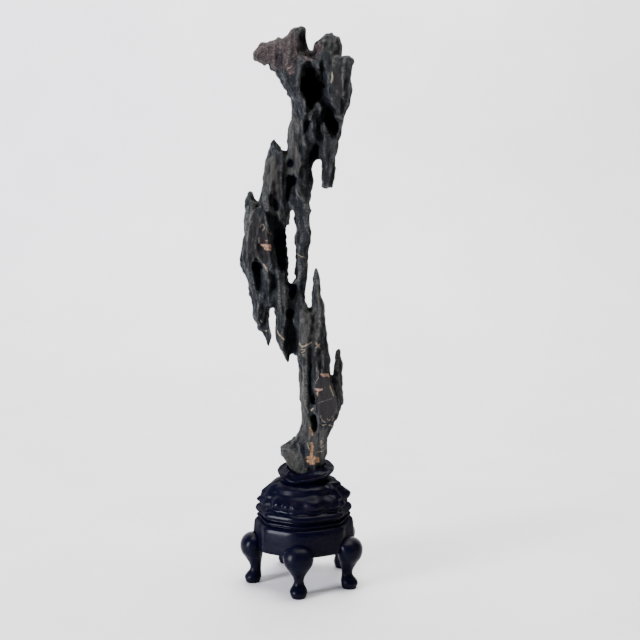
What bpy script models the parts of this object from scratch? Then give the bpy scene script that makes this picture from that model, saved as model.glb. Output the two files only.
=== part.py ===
"""A scholar's rock on its carved hardwood stand.

The rock is one natural stone, 530 mm tall from the table to its top, with a fluted skin, spikes that stand
and hang beside a slender trunk, and hollows worn into every side. Its foot drops into the wavy collar of
the stand. The stand is a knobbed dome, a band and an apron carved from one block, on five cabriole legs.

Lengths in the lists are millimetres. X runs to the right, Y to the back and Z up, from the stand's axis on
the table. The last step moves the whole object so that its footprint is centred on the origin.
"""

import math

import bmesh
import bpy
from mathutils import Vector, noise

MM = 0.001

# The clearance between pieces that touch.
GAP = 0.3

# The rock.
ROCK_VOXEL = 1.3
ROCK_TRIANGLES = 5300
RING_SIDES = 20
RING_SQUARENESS = 0.85
RING_TURN = 0.02

# The flutes cut into the skin and the crests raised between them. They wander sideways as they run down.
FLUTE_DEPTH = 2.3
FLUTE_RISE = 1.2
FLUTE_WIDTH = 12.0
FLUTE_LENGTH = 52.0
FLUTE_SHARPNESS = 2.2
SWAY = 0.5
SWAY_LENGTH = 40.0

# The stand: five legs, at nearly equal steps round its axis. Azimuths are degrees from the front,
# positive to the right.
LEG_AZIMUTHS = {
    "leg_front": -5,
    "leg_right": 61,
    "leg_back_right": 131,
    "leg_back_left": -158,
    "leg_left": -81,
}
LEG_SIDES = 12
BODY_SIDES = 60
LEG_ROOM_RINGS = 9

# The turned part of the stand sits a little left of the rock's axis, and its collar a little right of that.
STAND_X = -1.0
COLLAR_X = 2.0

# Columns: limbs that run down the stone. A row is height, left, right, front and back.
CROWN = [
    (500, -20, 14, -12, 16),
    (496, -25, 28, -20, 22),
    (488, -27, 32, -23, 25),
    (478, -20.5, 28, -24, 26),
    (469, -13.5, 25, -22, 26),
    (458, -11.5, 20, -20, 22),
    (448, -11, 16, -19, 20),
]
NECK = [
    (462, -12, 18, -20, 18),
    (446, -11.6, 15, -19, 18),
    (437, -14.8, 14, -18, 17),
    (425, -16.3, 14, -18, 17),
    (416.5, -18.3, 16, -18, 16),
    (411.5, -18, 11.8, -18, 16),
    (407.5, -18, 8.6, -17, 16),
    (396, -17.5, 7.6, -17, 16),
    (386, -17, 7.8, -17, 16),
    (375, -17, 6.7, -16, 16),
    (365, -16, 5.5, -15, 15),
    (357, -13, 4.5, -13, 13),
]
SLENDER_COLUMN = [
    (368, -12, 5, -11, 12),
    (360, -8.8, 5, -11, 12),
    (350, -8, 6.2, -11, 12),
    (343, -8.2, 7.2, -11, 12),
    (335, -9.8, 5.5, -10, 12),
    (328, -8.4, 4.5, -10, 12),
    (319, -8.6, 4, -10, 11),
    (305, -9, 2.5, -10, 11),
    (298, -9.5, 1.5, -10, 11),
    (291, -14.5, 0.8, -10, 11),
    (278, -16, 0, -12, 11),
    (262, -17, 2, -8, 12),
]
TOP_SPUR = [
    (531.2, -4.8, -0.8, -5, 0),
    (528, -10, 1, -8, 4),
    (524, -16, 2, -10, 7),
    (518, -21, 2.6, -12, 10),
    (510, -23, 5, -14, 14),
    (500, -23, 9, -18, 18),
]
TOP_LOBE = [
    (525.5, 21.5, 27, 0, 8),
    (521.5, 16.5, 32, -4, 14),
    (517.5, 8.5, 34.5, -8, 18),
    (511, 8, 35.5, -10, 20),
    (504, 7, 33, -12, 22),
    (492, 5, 31, -12, 20),
]
RIGHT_SLAB = [
    (505, 41.5, 44.4, -13, -8),
    (501.5, 24, 47.4, -18, 0),
    (495, 21, 46.6, -22, 5),
    (484, 20, 44.3, -24, 7),
    (473, 20, 44, -25, 7),
    (460.5, 22, 42.7, -25, 4),
    (453, 27.5, 39.5, -24, -4),
    (445.5, 32, 36.5, -22, -12),
]
BLADE = [
    (476, 16, 40, -6, 20),
    (460, 14, 40, -10, 20),
    (447, 14, 37.2, -13, 18),
    (435, 12, 34.2, -15, 16),
    (425, 12, 33.2, -15, 14),
    (416, 12, 32, -14, 12),
    (411.5, 14.2, 30, -14, 11),
    (406.5, 15.4, 28.8, -13, 10),
    (396, 15.5, 28, -12, 9),
    (388, 16.7, 27, -10, 7),
    (383, 18.6, 26.5, -8, 5),
]
LEFT_SHOULDER = [
    (428.6, -28.9, -27.2, -4, -1),
    (424.5, -31, -26.6, -8, 1),
    (421.5, -32.6, -25.4, -10, 4),
    (419.4, -33.4, -21, -11, 6),
    (416, -34.2, -16, -13, 8),
    (406, -36.6, -16, -15, 11),
    (395, -38.2, -14, -16, 13),
    (384, -39.8, -14, -17, 14),
    (375, -42.3, -14, -18, 14),
    (366, -43.5, -14, -18, 14),
    (352, -44, -18, -16, 12),
]
FAR_LEFT_SPIKE = [
    (382, -51, -49.8, 0, 3),
    (376, -54, -47.6, -4, 6),
    (369, -56, -45.5, -8, 9),
    (355, -56.6, -40, -12, 11),
    (340, -57, -34, -14, 12),
]
LEFT_BLOCK = [
    (363, -45, -20, -15, 12),
    (355, -55, -17, -18, 14),
    (346, -57, -16.3, -19, 15),
    (334, -58.5, -17.8, -20, 15),
    (327, -60.5, -16.3, -20, 15),
    (318, -62.5, -16.3, -20, 15),
    (312, -61.8, -16.3, -20, 15),
    (306, -59.4, -16.5, -19, 14),
    (294, -56.3, -15, -18, 13),
    (282, -53, -14, -16, 12),
    (272, -50, -14, -12, 9),
]
HANGING_SPIKE = [
    (285, -52.5, -32, -15, 10),
    (271, -50, -33, -14, 8),
    (261, -49, -34, -12, 6),
    (254, -46.3, -33.7, -10, 5),
    (246, -43, -32.7, -8, 3),
    (238, -38.5, -31.5, -6, 1),
    (230, -34.6, -32.6, -3, -1),
]
SECOND_SPIKE = [
    (288, -30, -12, -15, 8),
    (271, -29.5, -12, -15, 8),
    (263, -27, -12, -14, 8),
    (250, -27.4, -13, -13, 7),
    (240, -25.8, -14, -11, 7),
    (231, -24.2, -15.5, -9, 5),
    (224, -22.3, -17, -6, 2),
    (221, -20.5, -18, -4, 0),
]
SMALL_TOOTH = [
    (238, -19, -10, -2, 9),
    (226, -18.7, -12, -1, 7),
    (221.5, -17.9, -13.3, 0, 5),
    (215, -16.8, -14.6, 1, 3),
    (213.5, -16.2, -15.4, 1, 3),
]
LOWER_TRUNK = [
    (276, -16, 0, -8, 12),
    (268, -17, 3, -12, 14),
    (263, -17, 13, -13, 14),
    (256, -18, 19, -15, 15),
    (244, -18, 20.4, -17, 16),
    (234, -16, 22.4, -18, 16),
    (226.5, -14.5, 23.8, -18, 16),
    (223, -8.5, 24, -18, 16),
    (217, -5.8, 24.3, -18, 16),
    (209, -5.2, 23.6, -19, 16),
    (203, -5.2, 26, -19, 16),
    (196, -5.4, 29, -20, 17),
    (184, -4.8, 33, -20, 18),
    (174, -3.4, 36.5, -20, 18),
    (166, -2.6, 32.5, -20, 18),
    (157, -2.6, 28.8, -19, 17),
    (149, -5, 26.3, -18, 16),
    (142, -8, 24, -17, 16),
    (132, -12, 22, -17, 16),
    (122, -13, 20, -16, 15),
    (114, -13, 17.8, -14, 13),
    (106, -10, 15, -11, 11),
]
TALL_SPIKE = [
    (308.2, 9.3, 11.1, -3, -0.5),
    (302, 8.2, 13.2, -6, 2),
    (294, 7.9, 14.4, -8, 4),
    (286, 8, 16, -9, 6),
    (277, 7.8, 17, -10, 8),
    (269, 7.4, 18.4, -11, 10),
    (263, 5, 19.2, -12, 12),
    (246, -4, 20.5, -13, 13),
]
HORN = [
    (232.5, 31.8, 33.6, 2, 5),
    (226, 30.3, 36.4, 0, 8),
    (216, 29.6, 37.4, -2, 10),
    (206, 28.8, 36.6, -4, 12),
    (198, 27, 37.4, -7, 14),
    (186, 22, 38.6, -10, 15),
    (176, 20, 38.2, -12, 15),
    (168, 18, 34, -13, 14),
]
FOOT = [
    (143, -13, 0, -8, 6),
    (138.5, -18.8, 2, -13, 8),
    (134.5, -24.6, 4, -15, 10),
    (129, -22.2, 6, -16, 11),
    (121, -18.8, 8, -16, 12),
    (114, -15, 8, -13, 11),
    (107, -10.5, 6, -10, 8),
]

# Spurs: limbs that lean or lie. A row is x, y, z, half width in the XZ plane and half depth.
LEFT_SPUR = [
    (-46.6, -3, 502.4, 3, 4),
    (-43.6, -3, 503.4, 5.8, 7),
    (-38.8, -2, 505, 9.8, 10),
    (-31.6, 0, 507, 11.2, 13),
    (-25, 1, 505, 16.6, 16),
    (-12, 2, 498, 18, 18),
]
BACK_SPUR = [
    (0, 32, 505, 2.5, 3),
    (0, 28, 501, 6, 6),
    (2, 22, 494, 9, 10),
    (3, 15, 484, 12, 14),
]
BACK_RIB = [
    (10, 14, 452, 5, 5),
    (6, 19, 436, 8, 7),
    (0, 20, 415, 10, 8),
    (-6, 18, 392, 9, 8),
    (-12, 15, 368, 8, 7),
    (-20, 13, 350, 6, 6),
]
BACK_SPIKE = [
    (-4, 25, 330, 1.2, 1.2),
    (-4, 22, 318, 3, 3.5),
    (-4.5, 18, 300, 4.2, 5.5),
    (-4.5, 16, 285, 4.5, 6.5),
    (-3.5, 14, 271, 5, 8),
    (3, 13, 253, 8, 8),
    (8, 12, 225, 10, 9),
]
LOWER_BACK_RIB = [
    (20, 14, 205, 5, 5),
    (16, 18, 190, 8, 7),
    (12, 18, 165, 9, 7),
    (8, 15, 140, 9, 6),
]

# Hollows, in the same rows as the spurs. The crown cave, and then downwards.
CROWN_CAVE = [
    (4, -22, 495, 3, 10),
    (4.5, -19, 488, 8, 20),
    (7, -18, 480, 11.5, 24),
    (8, -18, 472, 12, 22),
    (8, -19, 465, 8, 15),
    (6.5, -20, 459.5, 4.6, 11),
    (5.5, -22, 453.5, 3, 7),
]
CROWN_PIT = [
    (-20, -18, 503, 2, 4),
    (-21, -17, 498, 4.5, 7),
    (-22, -18, 492, 3, 5),
]
TOP_SCOOP = [
    (1, -12, 527, 2, 6),
    (-1, -12, 520, 5, 10),
    (0, -13, 511, 6.5, 10),
    (4, -14, 504, 4.5, 8),
]
SLAB_GROOVE = [
    (16, -22, 500, 1.6, 8),
    (17.5, -20, 492, 2.6, 12),
    (18, -18, 482, 2.8, 12),
    (18, -19, 474, 2, 9),
]
SLAB_DISH = [
    (30, -27, 494, 2, 3),
    (31, -27, 480, 4, 5),
    (33, -28, 466, 3.5, 4),
]
TONGUE_HOLLOW = [
    (17, -19, 469, 3, 10),
    (19, -18, 462, 4.5, 14),
    (24, -18, 452, 7, 19),
    (26, -19, 443, 8, 20),
    (27, -20, 435, 5.5, 14),
    (28, -22, 427, 2.4, 7),
]
NECK_PIT = [
    (5, -20, 446, 3, 5),
    (5, -19, 439, 5, 9),
    (1.5, -20, 430, 3.5, 6),
    (0, -21, 421, 2, 4),
]
NOTCH_ARCH = [
    (10.5, -20, 427, 3, 7),
    (10.5, -17, 420, 5.3, 11),
    (10.5, -16, 411, 5.3, 12),
    (7, -18, 403, 4, 9),
    (5, -20, 394, 2.5, 5),
]
UPPER_NECK_DIMPLE = [
    (-11, -18, 414, 2.5, 4),
    (-11.2, -17, 407, 4.5, 8),
    (-11, -18, 400, 2.5, 4),
]
LONG_NECK_PIT = [
    (-8, -19, 398, 2.5, 5),
    (-9.5, -17, 391, 5, 10),
    (-11.5, -17, 381, 4.5, 10),
    (-13.5, -18, 369, 3.5, 7),
]
RIGHT_NECK_DISH = [
    (3, -21, 396, 2, 4),
    (4, -20, 384, 4, 5),
    (3, -20, 370, 3, 4),
]
SHOULDER_HOLLOW = [
    (-29, -18, 378, 3, 5),
    (-27, -17, 370, 5.5, 8),
    (-26, -17, 361, 4.5, 8),
]
VERTICAL_CAVE = [
    (-31, -20, 364, 3, 6),
    (-29, -18, 357, 5.5, 11),
    (-26.5, -17, 348, 6.3, 15),
    (-25.5, -16, 338, 6.5, 18),
    (-23.5, -15, 325, 6, 18),
    (-22, -15, 313, 4.5, 15),
    (-20, -17, 303, 2.3, 8),
]
LOWER_LEFT_PIT = [
    (-45, -20, 317, 3, 5),
    (-44.5, -18, 310, 4.5, 10),
    (-43.5, -17, 300, 4.5, 10),
    (-42, -18, 289, 4, 7),
    (-40, -19, 279, 2.5, 4),
]
BLOCK_FLUTE = [
    (-29, -19, 304, 3, 4),
    (-28, -18, 293, 4.5, 6),
    (-28, -18, 281, 3.5, 4),
]
SLOT = [
    (-11.6, 0, 364, 1.5, 60),
    (-11.2, 0, 359.5, 3, 60),
    (-11.8, 0, 351, 3.5, 60),
    (-11.9, 0, 343, 3.8, 60),
    (-13.2, 0, 336, 3.9, 60),
    (-12, 0, 330, 3, 60),
    (-11.9, 0, 320, 3.5, 60),
    (-12.4, 0, 309, 3.7, 60),
    (-12.4, 0, 301, 3.6, 60),
    (-12.2, 0, 295, 2.1, 60),
]
CENTRE_PITS = [
    (-9.5, -15, 290, 3, 6),
    (-9.5, -13, 285, 4.6, 10),
    (-10, -13, 278, 3.5, 7),
    (-12, -14, 271, 2, 5),
    (-12.5, -13, 263, 4.3, 10),
    (-13, -14, 256, 3, 7),
]
WEB_CHANNEL = [
    (-12.5, -14, 258, 3, 8),
    (-11.5, -13, 247, 5.5, 13),
    (-11, -13, 236, 6, 14),
    (-11, -13, 224, 6, 14),
]
UNDER_WEB = [
    (-10, 6, 223, 1.6, 30),
    (-10, 6, 220, 3.4, 30),
    (-10, 6, 212, 4, 30),
    (-13, 6, 205, 7, 30),
]
PLATE_HOLLOW = [
    (7, -21, 239, 3, 3),
    (8, -20, 231, 6, 5),
    (7, -20, 222, 5.5, 5),
    (5.5, -19, 210, 3.5, 7),
    (4.7, -19, 200, 2.6, 8),
    (6, -19, 193, 3, 8),
    (7.5, -19, 186, 4.3, 11),
    (8, -20, 180, 2.5, 6),
]
HORN_GROOVE = [
    (28, -16, 212, 2.5, 7),
    (28.5, -17, 200, 3.2, 8),
    (31, -18, 188, 3, 7),
    (34, -18, 176, 3, 6),
]
LOWER_PIT = [
    (8, -20, 173, 2, 4),
    (8, -18, 168, 4, 8),
    (8.5, -18, 160, 4, 8),
    (10, -19, 150, 2.2, 5),
]
LEFT_STEM_GROOVE = [
    (1.5, -20, 186, 1.5, 4),
    (4, -19, 177, 2.2, 5),
    (7, -19, 171, 1.8, 4),
]
FOOT_GROOVE = [
    (-2, -18, 158, 1.8, 4),
    (-2.5, -18, 149, 2.8, 6),
    (-1.5, -18, 140, 2, 4),
]
BACK_HOLLOWS = [
    [(22, 24, 488, 3, 5), (20, 22, 478, 7, 9), (17, 22, 464, 6, 8), (15, 21, 452, 3, 5)],
    [(-16, 20, 486, 3, 5), (-13, 21, 474, 6, 9), (-10, 20, 460, 4, 6)],
    [(14, 15, 428, 3, 5), (16, 14, 418, 4, 8), (17, 13, 405, 2.5, 5)],
    [(-30, 14, 406, 2, 4), (-28, 14, 394, 5, 7), (-30, 14, 380, 4, 6)],
    [(-46, 15, 350, 3, 4), (-44, 14, 336, 6, 8), (-42, 14, 318, 6, 8), (-40, 13, 302, 3, 5)],
    [(-26, 14, 330, 3, 4), (-25, 13, 312, 4.5, 7), (-24, 12, 294, 3, 5)],
    [(-6, 15, 258, 2.5, 5), (-5, 15, 244, 5.5, 8), (-2, 16, 232, 4, 6)],
    [(20, 18, 236, 3, 5), (19, 17, 222, 5, 8), (20, 17, 208, 3, 5)],
    [(2, 19, 194, 2.5, 5), (2, 18, 178, 5, 8), (3, 18, 160, 3.5, 6)],
    [(20, 18, 160, 2.5, 4), (18, 17, 148, 4.5, 6), (14, 17, 134, 3, 5)],
]

# The stand body, from the rim of its underside up to the collar and in under the rock. A row is height,
# radius, how much the eight-cornered plan, the knobs, the rim's wave and the inner swell act there, and
# the front-to-back share.
BODY_RINGS = [
    (38.3, 42.0, 1.0, 0.0, 0.0, 0.0, 1.0),
    (38.5, 47.4, 1.0, 0.0, 0.0, 0.0, 1.0),
    (40.6, 49.2, 1.0, 0.0, 0.0, 0.0, 1.0),
    (52.0, 49.2, 1.0, 0.0, 0.0, 0.0, 1.0),
    (62.0, 49.0, 1.0, 0.0, 0.0, 0.0, 1.0),
    (66.5, 48.2, 0.9, 0.0, 0.0, 0.0, 1.0),
    (69.0, 45.8, 0.7, 0.0, 0.0, 0.0, 1.0),
    (70.4, 43.0, 0.5, 0.0, 0.0, 0.0, 1.0),
    (71.6, 43.4, 0.5, 0.0, 0.0, 0.0, 1.0),
    (73.2, 45.2, 0.5, 0.0, 0.0, 0.0, 1.0),
    (75.8, 45.2, 0.5, 0.0, 0.0, 0.0, 1.0),
    (77.6, 42.6, 0.4, 0.2, 0.0, 0.0, 1.0),
    (79.0, 40.2, 0.3, 0.7, 0.0, 0.0, 1.0),
    (82.5, 39.6, 0.2, 1.0, 0.0, 0.0, 1.0),
    (86.5, 39.0, 0.1, 1.0, 0.0, 0.0, 1.0),
    (90.5, 37.8, 0.0, 1.0, 0.0, 0.0, 1.0),
    (94.5, 35.2, 0.0, 1.0, 0.0, 0.0, 1.0),
    (98.0, 31.6, 0.0, 1.0, 0.0, 0.0, 1.0),
    (101.0, 28.0, 0.0, 1.0, 0.0, 0.0, 1.0),
    (103.0, 24.8, 0.0, 0.8, 0.1, 0.0, 0.98),
    (104.5, 22.8, 0.0, 0.0, 0.3, 0.0, 0.96),
    (106.3, 23.2, 0.0, 0.0, 0.6, 0.0, 0.96),
    (109.0, 25.0, 0.0, 0.0, 0.9, 0.0, 0.96),
    (111.6, 26.2, 0.0, 0.0, 1.0, 0.0, 0.96),
    (113.2, 25.6, 0.0, 0.0, 1.0, 0.0, 0.96),
    (113.6, 24.0, 0.0, 0.0, 1.0, 0.1, 0.95),
    (113.2, 21.0, 0.0, 0.0, 1.0, 0.5, 0.93),
    (113.0, 18.0, 0.0, 0.0, 0.9, 1.0, 0.90),
    (112.6, 12.0, 0.0, 0.0, 0.5, 0.9, 0.88),
    (112.0, 5.0, 0.0, 0.0, 0.0, 0.0, 0.88),
]
APRON_CORNERS = [-92, -50, -3, 50, 97, 138, 180, -136]
CORNER_STEP = 45.0
CORNER_RISE = 0.9
CORNER_DROP = 3.0
CORNER_SHARPNESS = 0.8

# Knobs on the dome: azimuth in degrees, height, radius and how far each stands out.
KNOBS = [
    (-90, 91, 6, 3.4),
    (-86, 82, 6, 5.4),
    (-66, 88, 8, 5.0),
    (-46, 87, 8, 5.4),
    (-27, 85, 6, 4.4),
    (-14, 84, 6, 4.4),
    (8, 91, 9, 5.6),
    (36, 87, 9, 5.8),
    (60, 93, 7, 4.0),
    (64, 82, 6, 3.6),
    (86, 91, 8, 7.6),
    (96, 79, 6, 2.4),
    (112, 88, 9, 5.2),
    (134, 84, 8, 4.6),
    (152, 91, 8, 5.0),
    (172, 85, 9, 5.2),
    (194, 90, 8, 5.0),
    (212, 84, 8, 4.6),
    (232, 91, 9, 5.2),
    (252, 84, 7, 4.6),
    (-32, 97, 8, 3.4),
    (22, 99, 8, 3.0),
    (78, 103, 7, 7.5),
    (-72, 98, 7, 3.2),
    (120, 99, 8, 3.4),
    (168, 99, 9, 3.4),
    (216, 100, 8, 3.2),
]

# The collar's rim: azimuth and how far it rises above its lowest point. Its inner swell climbs against the
# rock, most of all at the right.
RIM_RISE = [
    (-180, 3.0),
    (-135, 1.5),
    (-90, -0.5),
    (-45, -2.6),
    (-15, -4.2),
    (30, -3.2),
    (70, 0.0),
    (100, 2.0),
    (135, 4.5),
    (180, 3.0),
]
INNER_SWELL = [
    (-180, 0.0),
    (-120, -1.0),
    (-60, -1.2),
    (-20, 0.8),
    (10, 3.4),
    (45, 9.0),
    (80, 7.0),
    (120, 2.5),
    (180, 0.0),
]

# The socket, a clearance outside the rock's foot. A row is height, left, right, front and back.
SOCKET = [
    (126, -24, 22.8, -19.4, 18),
    (120, -21, 21.2, -17.8, 17),
    (114, -17.2, 19.6, -16, 15.4),
    (109, -14.2, 17.8, -14.2, 13.6),
    (104.8, -12.6, 16.6, -13, 12.6),
]

# One leg. A row is height, inner radius, outer radius and half width.
LEG_RINGS = [
    (0.0, 44.5, 55.2, 5.4),
    (1.6, 43.0, 57.4, 7.5),
    (6.2, 41.6, 58.3, 8.3),
    (10.5, 42.0, 56.6, 7.4),
    (14.0, 42.2, 54.0, 5.5),
    (17.2, 42.2, 52.9, 4.6),
    (21.0, 42.0, 53.7, 5.4),
    (27.0, 41.2, 57.2, 8.5),
    (32.5, 40.2, 61.2, 11.5),
    (38.0, 39.5, 62.9, 13.3),
    (43.0, 39.5, 62.2, 13.6),
    (47.3, 40.0, 59.6, 11.8),
    (50.2, 43.0, 56.2, 8.2),
    (51.6, 47.0, 52.8, 3.4),
]


def new_collection(name):
    """A collection of its own, linked to the scene."""
    collection = bpy.data.collections.new(name)
    bpy.context.scene.collection.children.link(collection)
    return collection


def new_material(name, colour, roughness):
    """A non-metal Principled material."""
    material = bpy.data.materials.new(name)
    material.use_nodes = True
    shader = material.node_tree.nodes["Principled BSDF"]
    shader.inputs["Base Color"].default_value = (*colour, 1.0)
    shader.inputs["Roughness"].default_value = roughness
    shader.inputs["Metallic"].default_value = 0.0
    material.diffuse_color = (*colour, 1.0)
    return material


def new_object(name, bm, collection, material=None):
    """Moves a bmesh into a new object of the collection."""
    bmesh.ops.recalc_face_normals(bm, faces=bm.faces)
    mesh = bpy.data.meshes.new(name)
    bm.to_mesh(mesh)
    bm.free()
    if material:
        mesh.materials.append(material)
    thing = bpy.data.objects.new(name, mesh)
    collection.objects.link(thing)
    return thing


def new_cutter(name, bm, collection):
    """A solid that only cuts others."""
    thing = new_object(name, bm, collection)
    thing.hide_render = True
    thing.display_type = "WIRE"
    return thing


def cut_away(thing, name, cutter):
    """Subtracts the cutter from the object."""
    cut = thing.modifiers.new(name, "BOOLEAN")
    cut.operation = "DIFFERENCE"
    cut.solver = "EXACT"
    cut.object = cutter


def evaluated_bmesh(thing):
    """The object's mesh with its modifiers applied."""
    depsgraph = bpy.context.evaluated_depsgraph_get()
    depsgraph.update()
    mesh = bpy.data.meshes.new_from_object(thing.evaluated_get(depsgraph))
    bm = bmesh.new()
    bm.from_mesh(mesh)
    bpy.data.meshes.remove(mesh)
    return bm


def skin_rings(bm, rings):
    """Faces between closed rings with the same number of points, and a face on each end."""
    loops = [[bm.verts.new(point) for point in ring] for ring in rings]
    for upper, lower in zip(loops, loops[1:]):
        count = len(upper)
        for i in range(count):
            j = (i + 1) % count
            bm.faces.new((upper[i], upper[j], lower[j], lower[i]))
    bm.faces.new(loops[0])
    bm.faces.new(list(reversed(loops[-1])))


def fluted_ring(centre, side, depth, half_width, half_depth, flutes, flute_depth, turn):
    """A rounded section whose crests stay on the full outline and whose flutes are cut between them."""
    ring = []
    for i in range(RING_SIDES):
        angle = 2 * math.pi * i / RING_SIDES
        crest = abs(math.cos(flutes * angle / 2 + turn))
        reach = 1 - flute_depth * (1 - crest)
        across = math.copysign(abs(math.cos(angle)) ** RING_SQUARENESS, math.cos(angle))
        inward = math.copysign(abs(math.sin(angle)) ** RING_SQUARENESS, math.sin(angle))
        offset = side * (half_width * across) + depth * (half_depth * inward)
        ring.append((centre + offset * reach) * MM)
    return ring


def column(bm, rows, flutes=4, flute_depth=0.12, turn=0.0):
    """A limb with level sections."""
    rings = []
    for height, left, right, front, back in rows:
        centre = Vector(((left + right) / 2, (front + back) / 2, height))
        half_width = (right - left) / 2
        half_depth = (back - front) / 2
        rings.append(
            fluted_ring(centre, Vector((1, 0, 0)), Vector((0, 1, 0)), half_width, half_depth,
                        flutes, flute_depth, turn)
        )
        turn += RING_TURN
    skin_rings(bm, rings)


def spur(bm, rows, flutes=4, flute_depth=0.0, turn=0.0):
    """A limb or a hollow with sections square to its path."""
    path = [Vector(row[:3]) for row in rows]
    rings = []
    for i, row in enumerate(rows):
        before = path[max(i - 1, 0)]
        after = path[min(i + 1, len(path) - 1)]
        along = (after - before).normalized()
        side = along.cross(Vector((0, 1, 0))).normalized()
        depth = side.cross(along)
        rings.append(fluted_ring(path[i], side, depth, row[3], row[4], flutes, flute_depth, turn))
    skin_rings(bm, rings)


def remeshed(bm, name, collection, smoothing):
    """One even skin round everything in the bmesh, relaxed a little."""
    rough = new_object(name + "_rough", bm, collection)
    remesh = rough.modifiers.new("Remesh", "REMESH")
    remesh.mode = "VOXEL"
    remesh.voxel_size = ROCK_VOXEL * MM
    skin = evaluated_bmesh(rough)
    bpy.data.objects.remove(rough)
    for _ in range(smoothing):
        bmesh.ops.smooth_vert(skin, verts=skin.verts, factor=0.5, use_axis_x=True, use_axis_y=True,
                              use_axis_z=True)
    return skin


def rock_limbs():
    """Every limb of the stone as a closed solid of its own, overlapping its neighbours."""
    bm = bmesh.new()
    column(bm, CROWN, flutes=8, flute_depth=0.14)
    column(bm, NECK, flutes=8, flute_depth=0.16)
    column(bm, SLENDER_COLUMN, flutes=6, flute_depth=0.14, turn=0.2)
    column(bm, TOP_LOBE, flutes=6, flute_depth=0.12)
    column(bm, RIGHT_SLAB, flutes=8, flute_depth=0.12)
    column(bm, BLADE, flutes=6, flute_depth=0.14)
    column(bm, LEFT_SHOULDER, flutes=6, flute_depth=0.14)
    column(bm, FAR_LEFT_SPIKE, flutes=4)
    column(bm, LEFT_BLOCK, flutes=8, flute_depth=0.14)
    column(bm, HANGING_SPIKE, flutes=4)
    column(bm, SECOND_SPIKE, flutes=4)
    column(bm, SMALL_TOOTH, flutes=4)
    column(bm, LOWER_TRUNK, flutes=8, flute_depth=0.12)
    column(bm, TALL_SPIKE, flutes=4)
    column(bm, HORN, flutes=4)
    column(bm, FOOT, flutes=4, flute_depth=0.06)
    column(bm, TOP_SPUR, flutes=4, flute_depth=0.08)
    for rows in (LEFT_SPUR, BACK_SPUR, BACK_RIB, BACK_SPIKE, LOWER_BACK_RIB):
        spur(bm, rows, flutes=6, flute_depth=0.12)
    return bm


def rock_hollows():
    """Every hollow as a closed solid."""
    bm = bmesh.new()
    front = (
        CROWN_CAVE, CROWN_PIT, TOP_SCOOP, SLAB_GROOVE, SLAB_DISH, TONGUE_HOLLOW, NECK_PIT, NOTCH_ARCH,
        UPPER_NECK_DIMPLE, LONG_NECK_PIT, RIGHT_NECK_DISH, SHOULDER_HOLLOW, VERTICAL_CAVE, LOWER_LEFT_PIT,
        BLOCK_FLUTE, SLOT, CENTRE_PITS, WEB_CHANNEL, UNDER_WEB, PLATE_HOLLOW, HORN_GROOVE, LOWER_PIT,
        LEFT_STEM_GROOVE, FOOT_GROOVE,
    )
    for rows in (*front, *BACK_HOLLOWS):
        spur(bm, rows)
    return bm


def cut_flutes(bm):
    """Long shallow flutes with sharp crests between them, about the limbs' outline."""
    bm.normal_update()
    moves = []
    for vert in bm.verts:
        place = vert.co / MM
        sway = SWAY * noise.noise(place / SWAY_LENGTH)
        stretched = Vector((place.x / FLUTE_WIDTH + sway, place.y / FLUTE_WIDTH, place.z / FLUTE_LENGTH))
        hollow = min(FLUTE_SHARPNESS * abs(noise.noise(stretched)), 1.0)
        depth = FLUTE_DEPTH * hollow - FLUTE_RISE
        moves.append(vert.normal * (-depth * MM))
    for vert, move in zip(bm.verts, moves):
        vert.co += move


def make_rock(collection, cutters, material):
    """The limbs made one, the hollows cut from them, and the skin brought down to its triangle count."""
    limbs = remeshed(rock_limbs(), "limbs", collection, smoothing=2)
    cut_flutes(limbs)
    fluted = remeshed(limbs, "fluted", collection, smoothing=0)
    carved = new_object("carved", fluted, collection)
    hollows = new_cutter("hollows", remeshed(rock_hollows(), "hollow", cutters, smoothing=2), cutters)
    cut_away(carved, "Hollows", hollows)
    skin = evaluated_bmesh(carved)
    bpy.data.objects.remove(carved)
    skin = remeshed(skin, "skin", collection, smoothing=2)
    keep_largest_piece(skin)
    bmesh.ops.triangulate(skin, faces=skin.faces)
    share = ROCK_TRIANGLES / len(skin.faces)
    rock = new_object("rock", skin, collection, material)
    reduce = rock.modifiers.new("Reduce", "DECIMATE")
    reduce.ratio = share
    rock.data.shade_smooth()
    return rock


def keep_largest_piece(bm):
    """Removes crumbs that a cut has left loose."""
    bm.verts.ensure_lookup_table()
    unseen = set(bm.verts)
    pieces = []
    while unseen:
        first = unseen.pop()
        piece = {first}
        waiting = [first]
        while waiting:
            vert = waiting.pop()
            for edge in vert.link_edges:
                other = edge.other_vert(vert)
                if other in unseen:
                    unseen.discard(other)
                    piece.add(other)
                    waiting.append(other)
        pieces.append(piece)
    pieces.sort(key=len, reverse=True)
    crumbs = [vert for piece in pieces[1:] for vert in piece]
    bmesh.ops.delete(bm, geom=crumbs, context="VERTS")


def turned_apart(first, second):
    """The angle between two azimuths, in degrees, from 0 to 180."""
    return abs((first - second + 180) % 360 - 180)


def corner_reach(azimuth):
    """How far the apron's plan stands out at a corner, or falls back between two."""
    nearest = min(turned_apart(azimuth, corner) for corner in APRON_CORNERS)
    share = min(nearest / (CORNER_STEP / 2), 1.0)
    return CORNER_RISE - CORNER_DROP * share ** CORNER_SHARPNESS


def knob_reach(azimuth, height, radius):
    """How far the knobs stand out at a point of the dome."""
    reach = 0.0
    for knob_azimuth, knob_height, knob_radius, knob_reach_max in KNOBS:
        across = math.radians(turned_apart(azimuth, knob_azimuth)) * radius
        distance = math.hypot(across, height - knob_height) / knob_radius
        if distance < 1:
            reach = max(reach, knob_reach_max * math.sqrt(1 - distance ** 2))
    return reach


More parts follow.
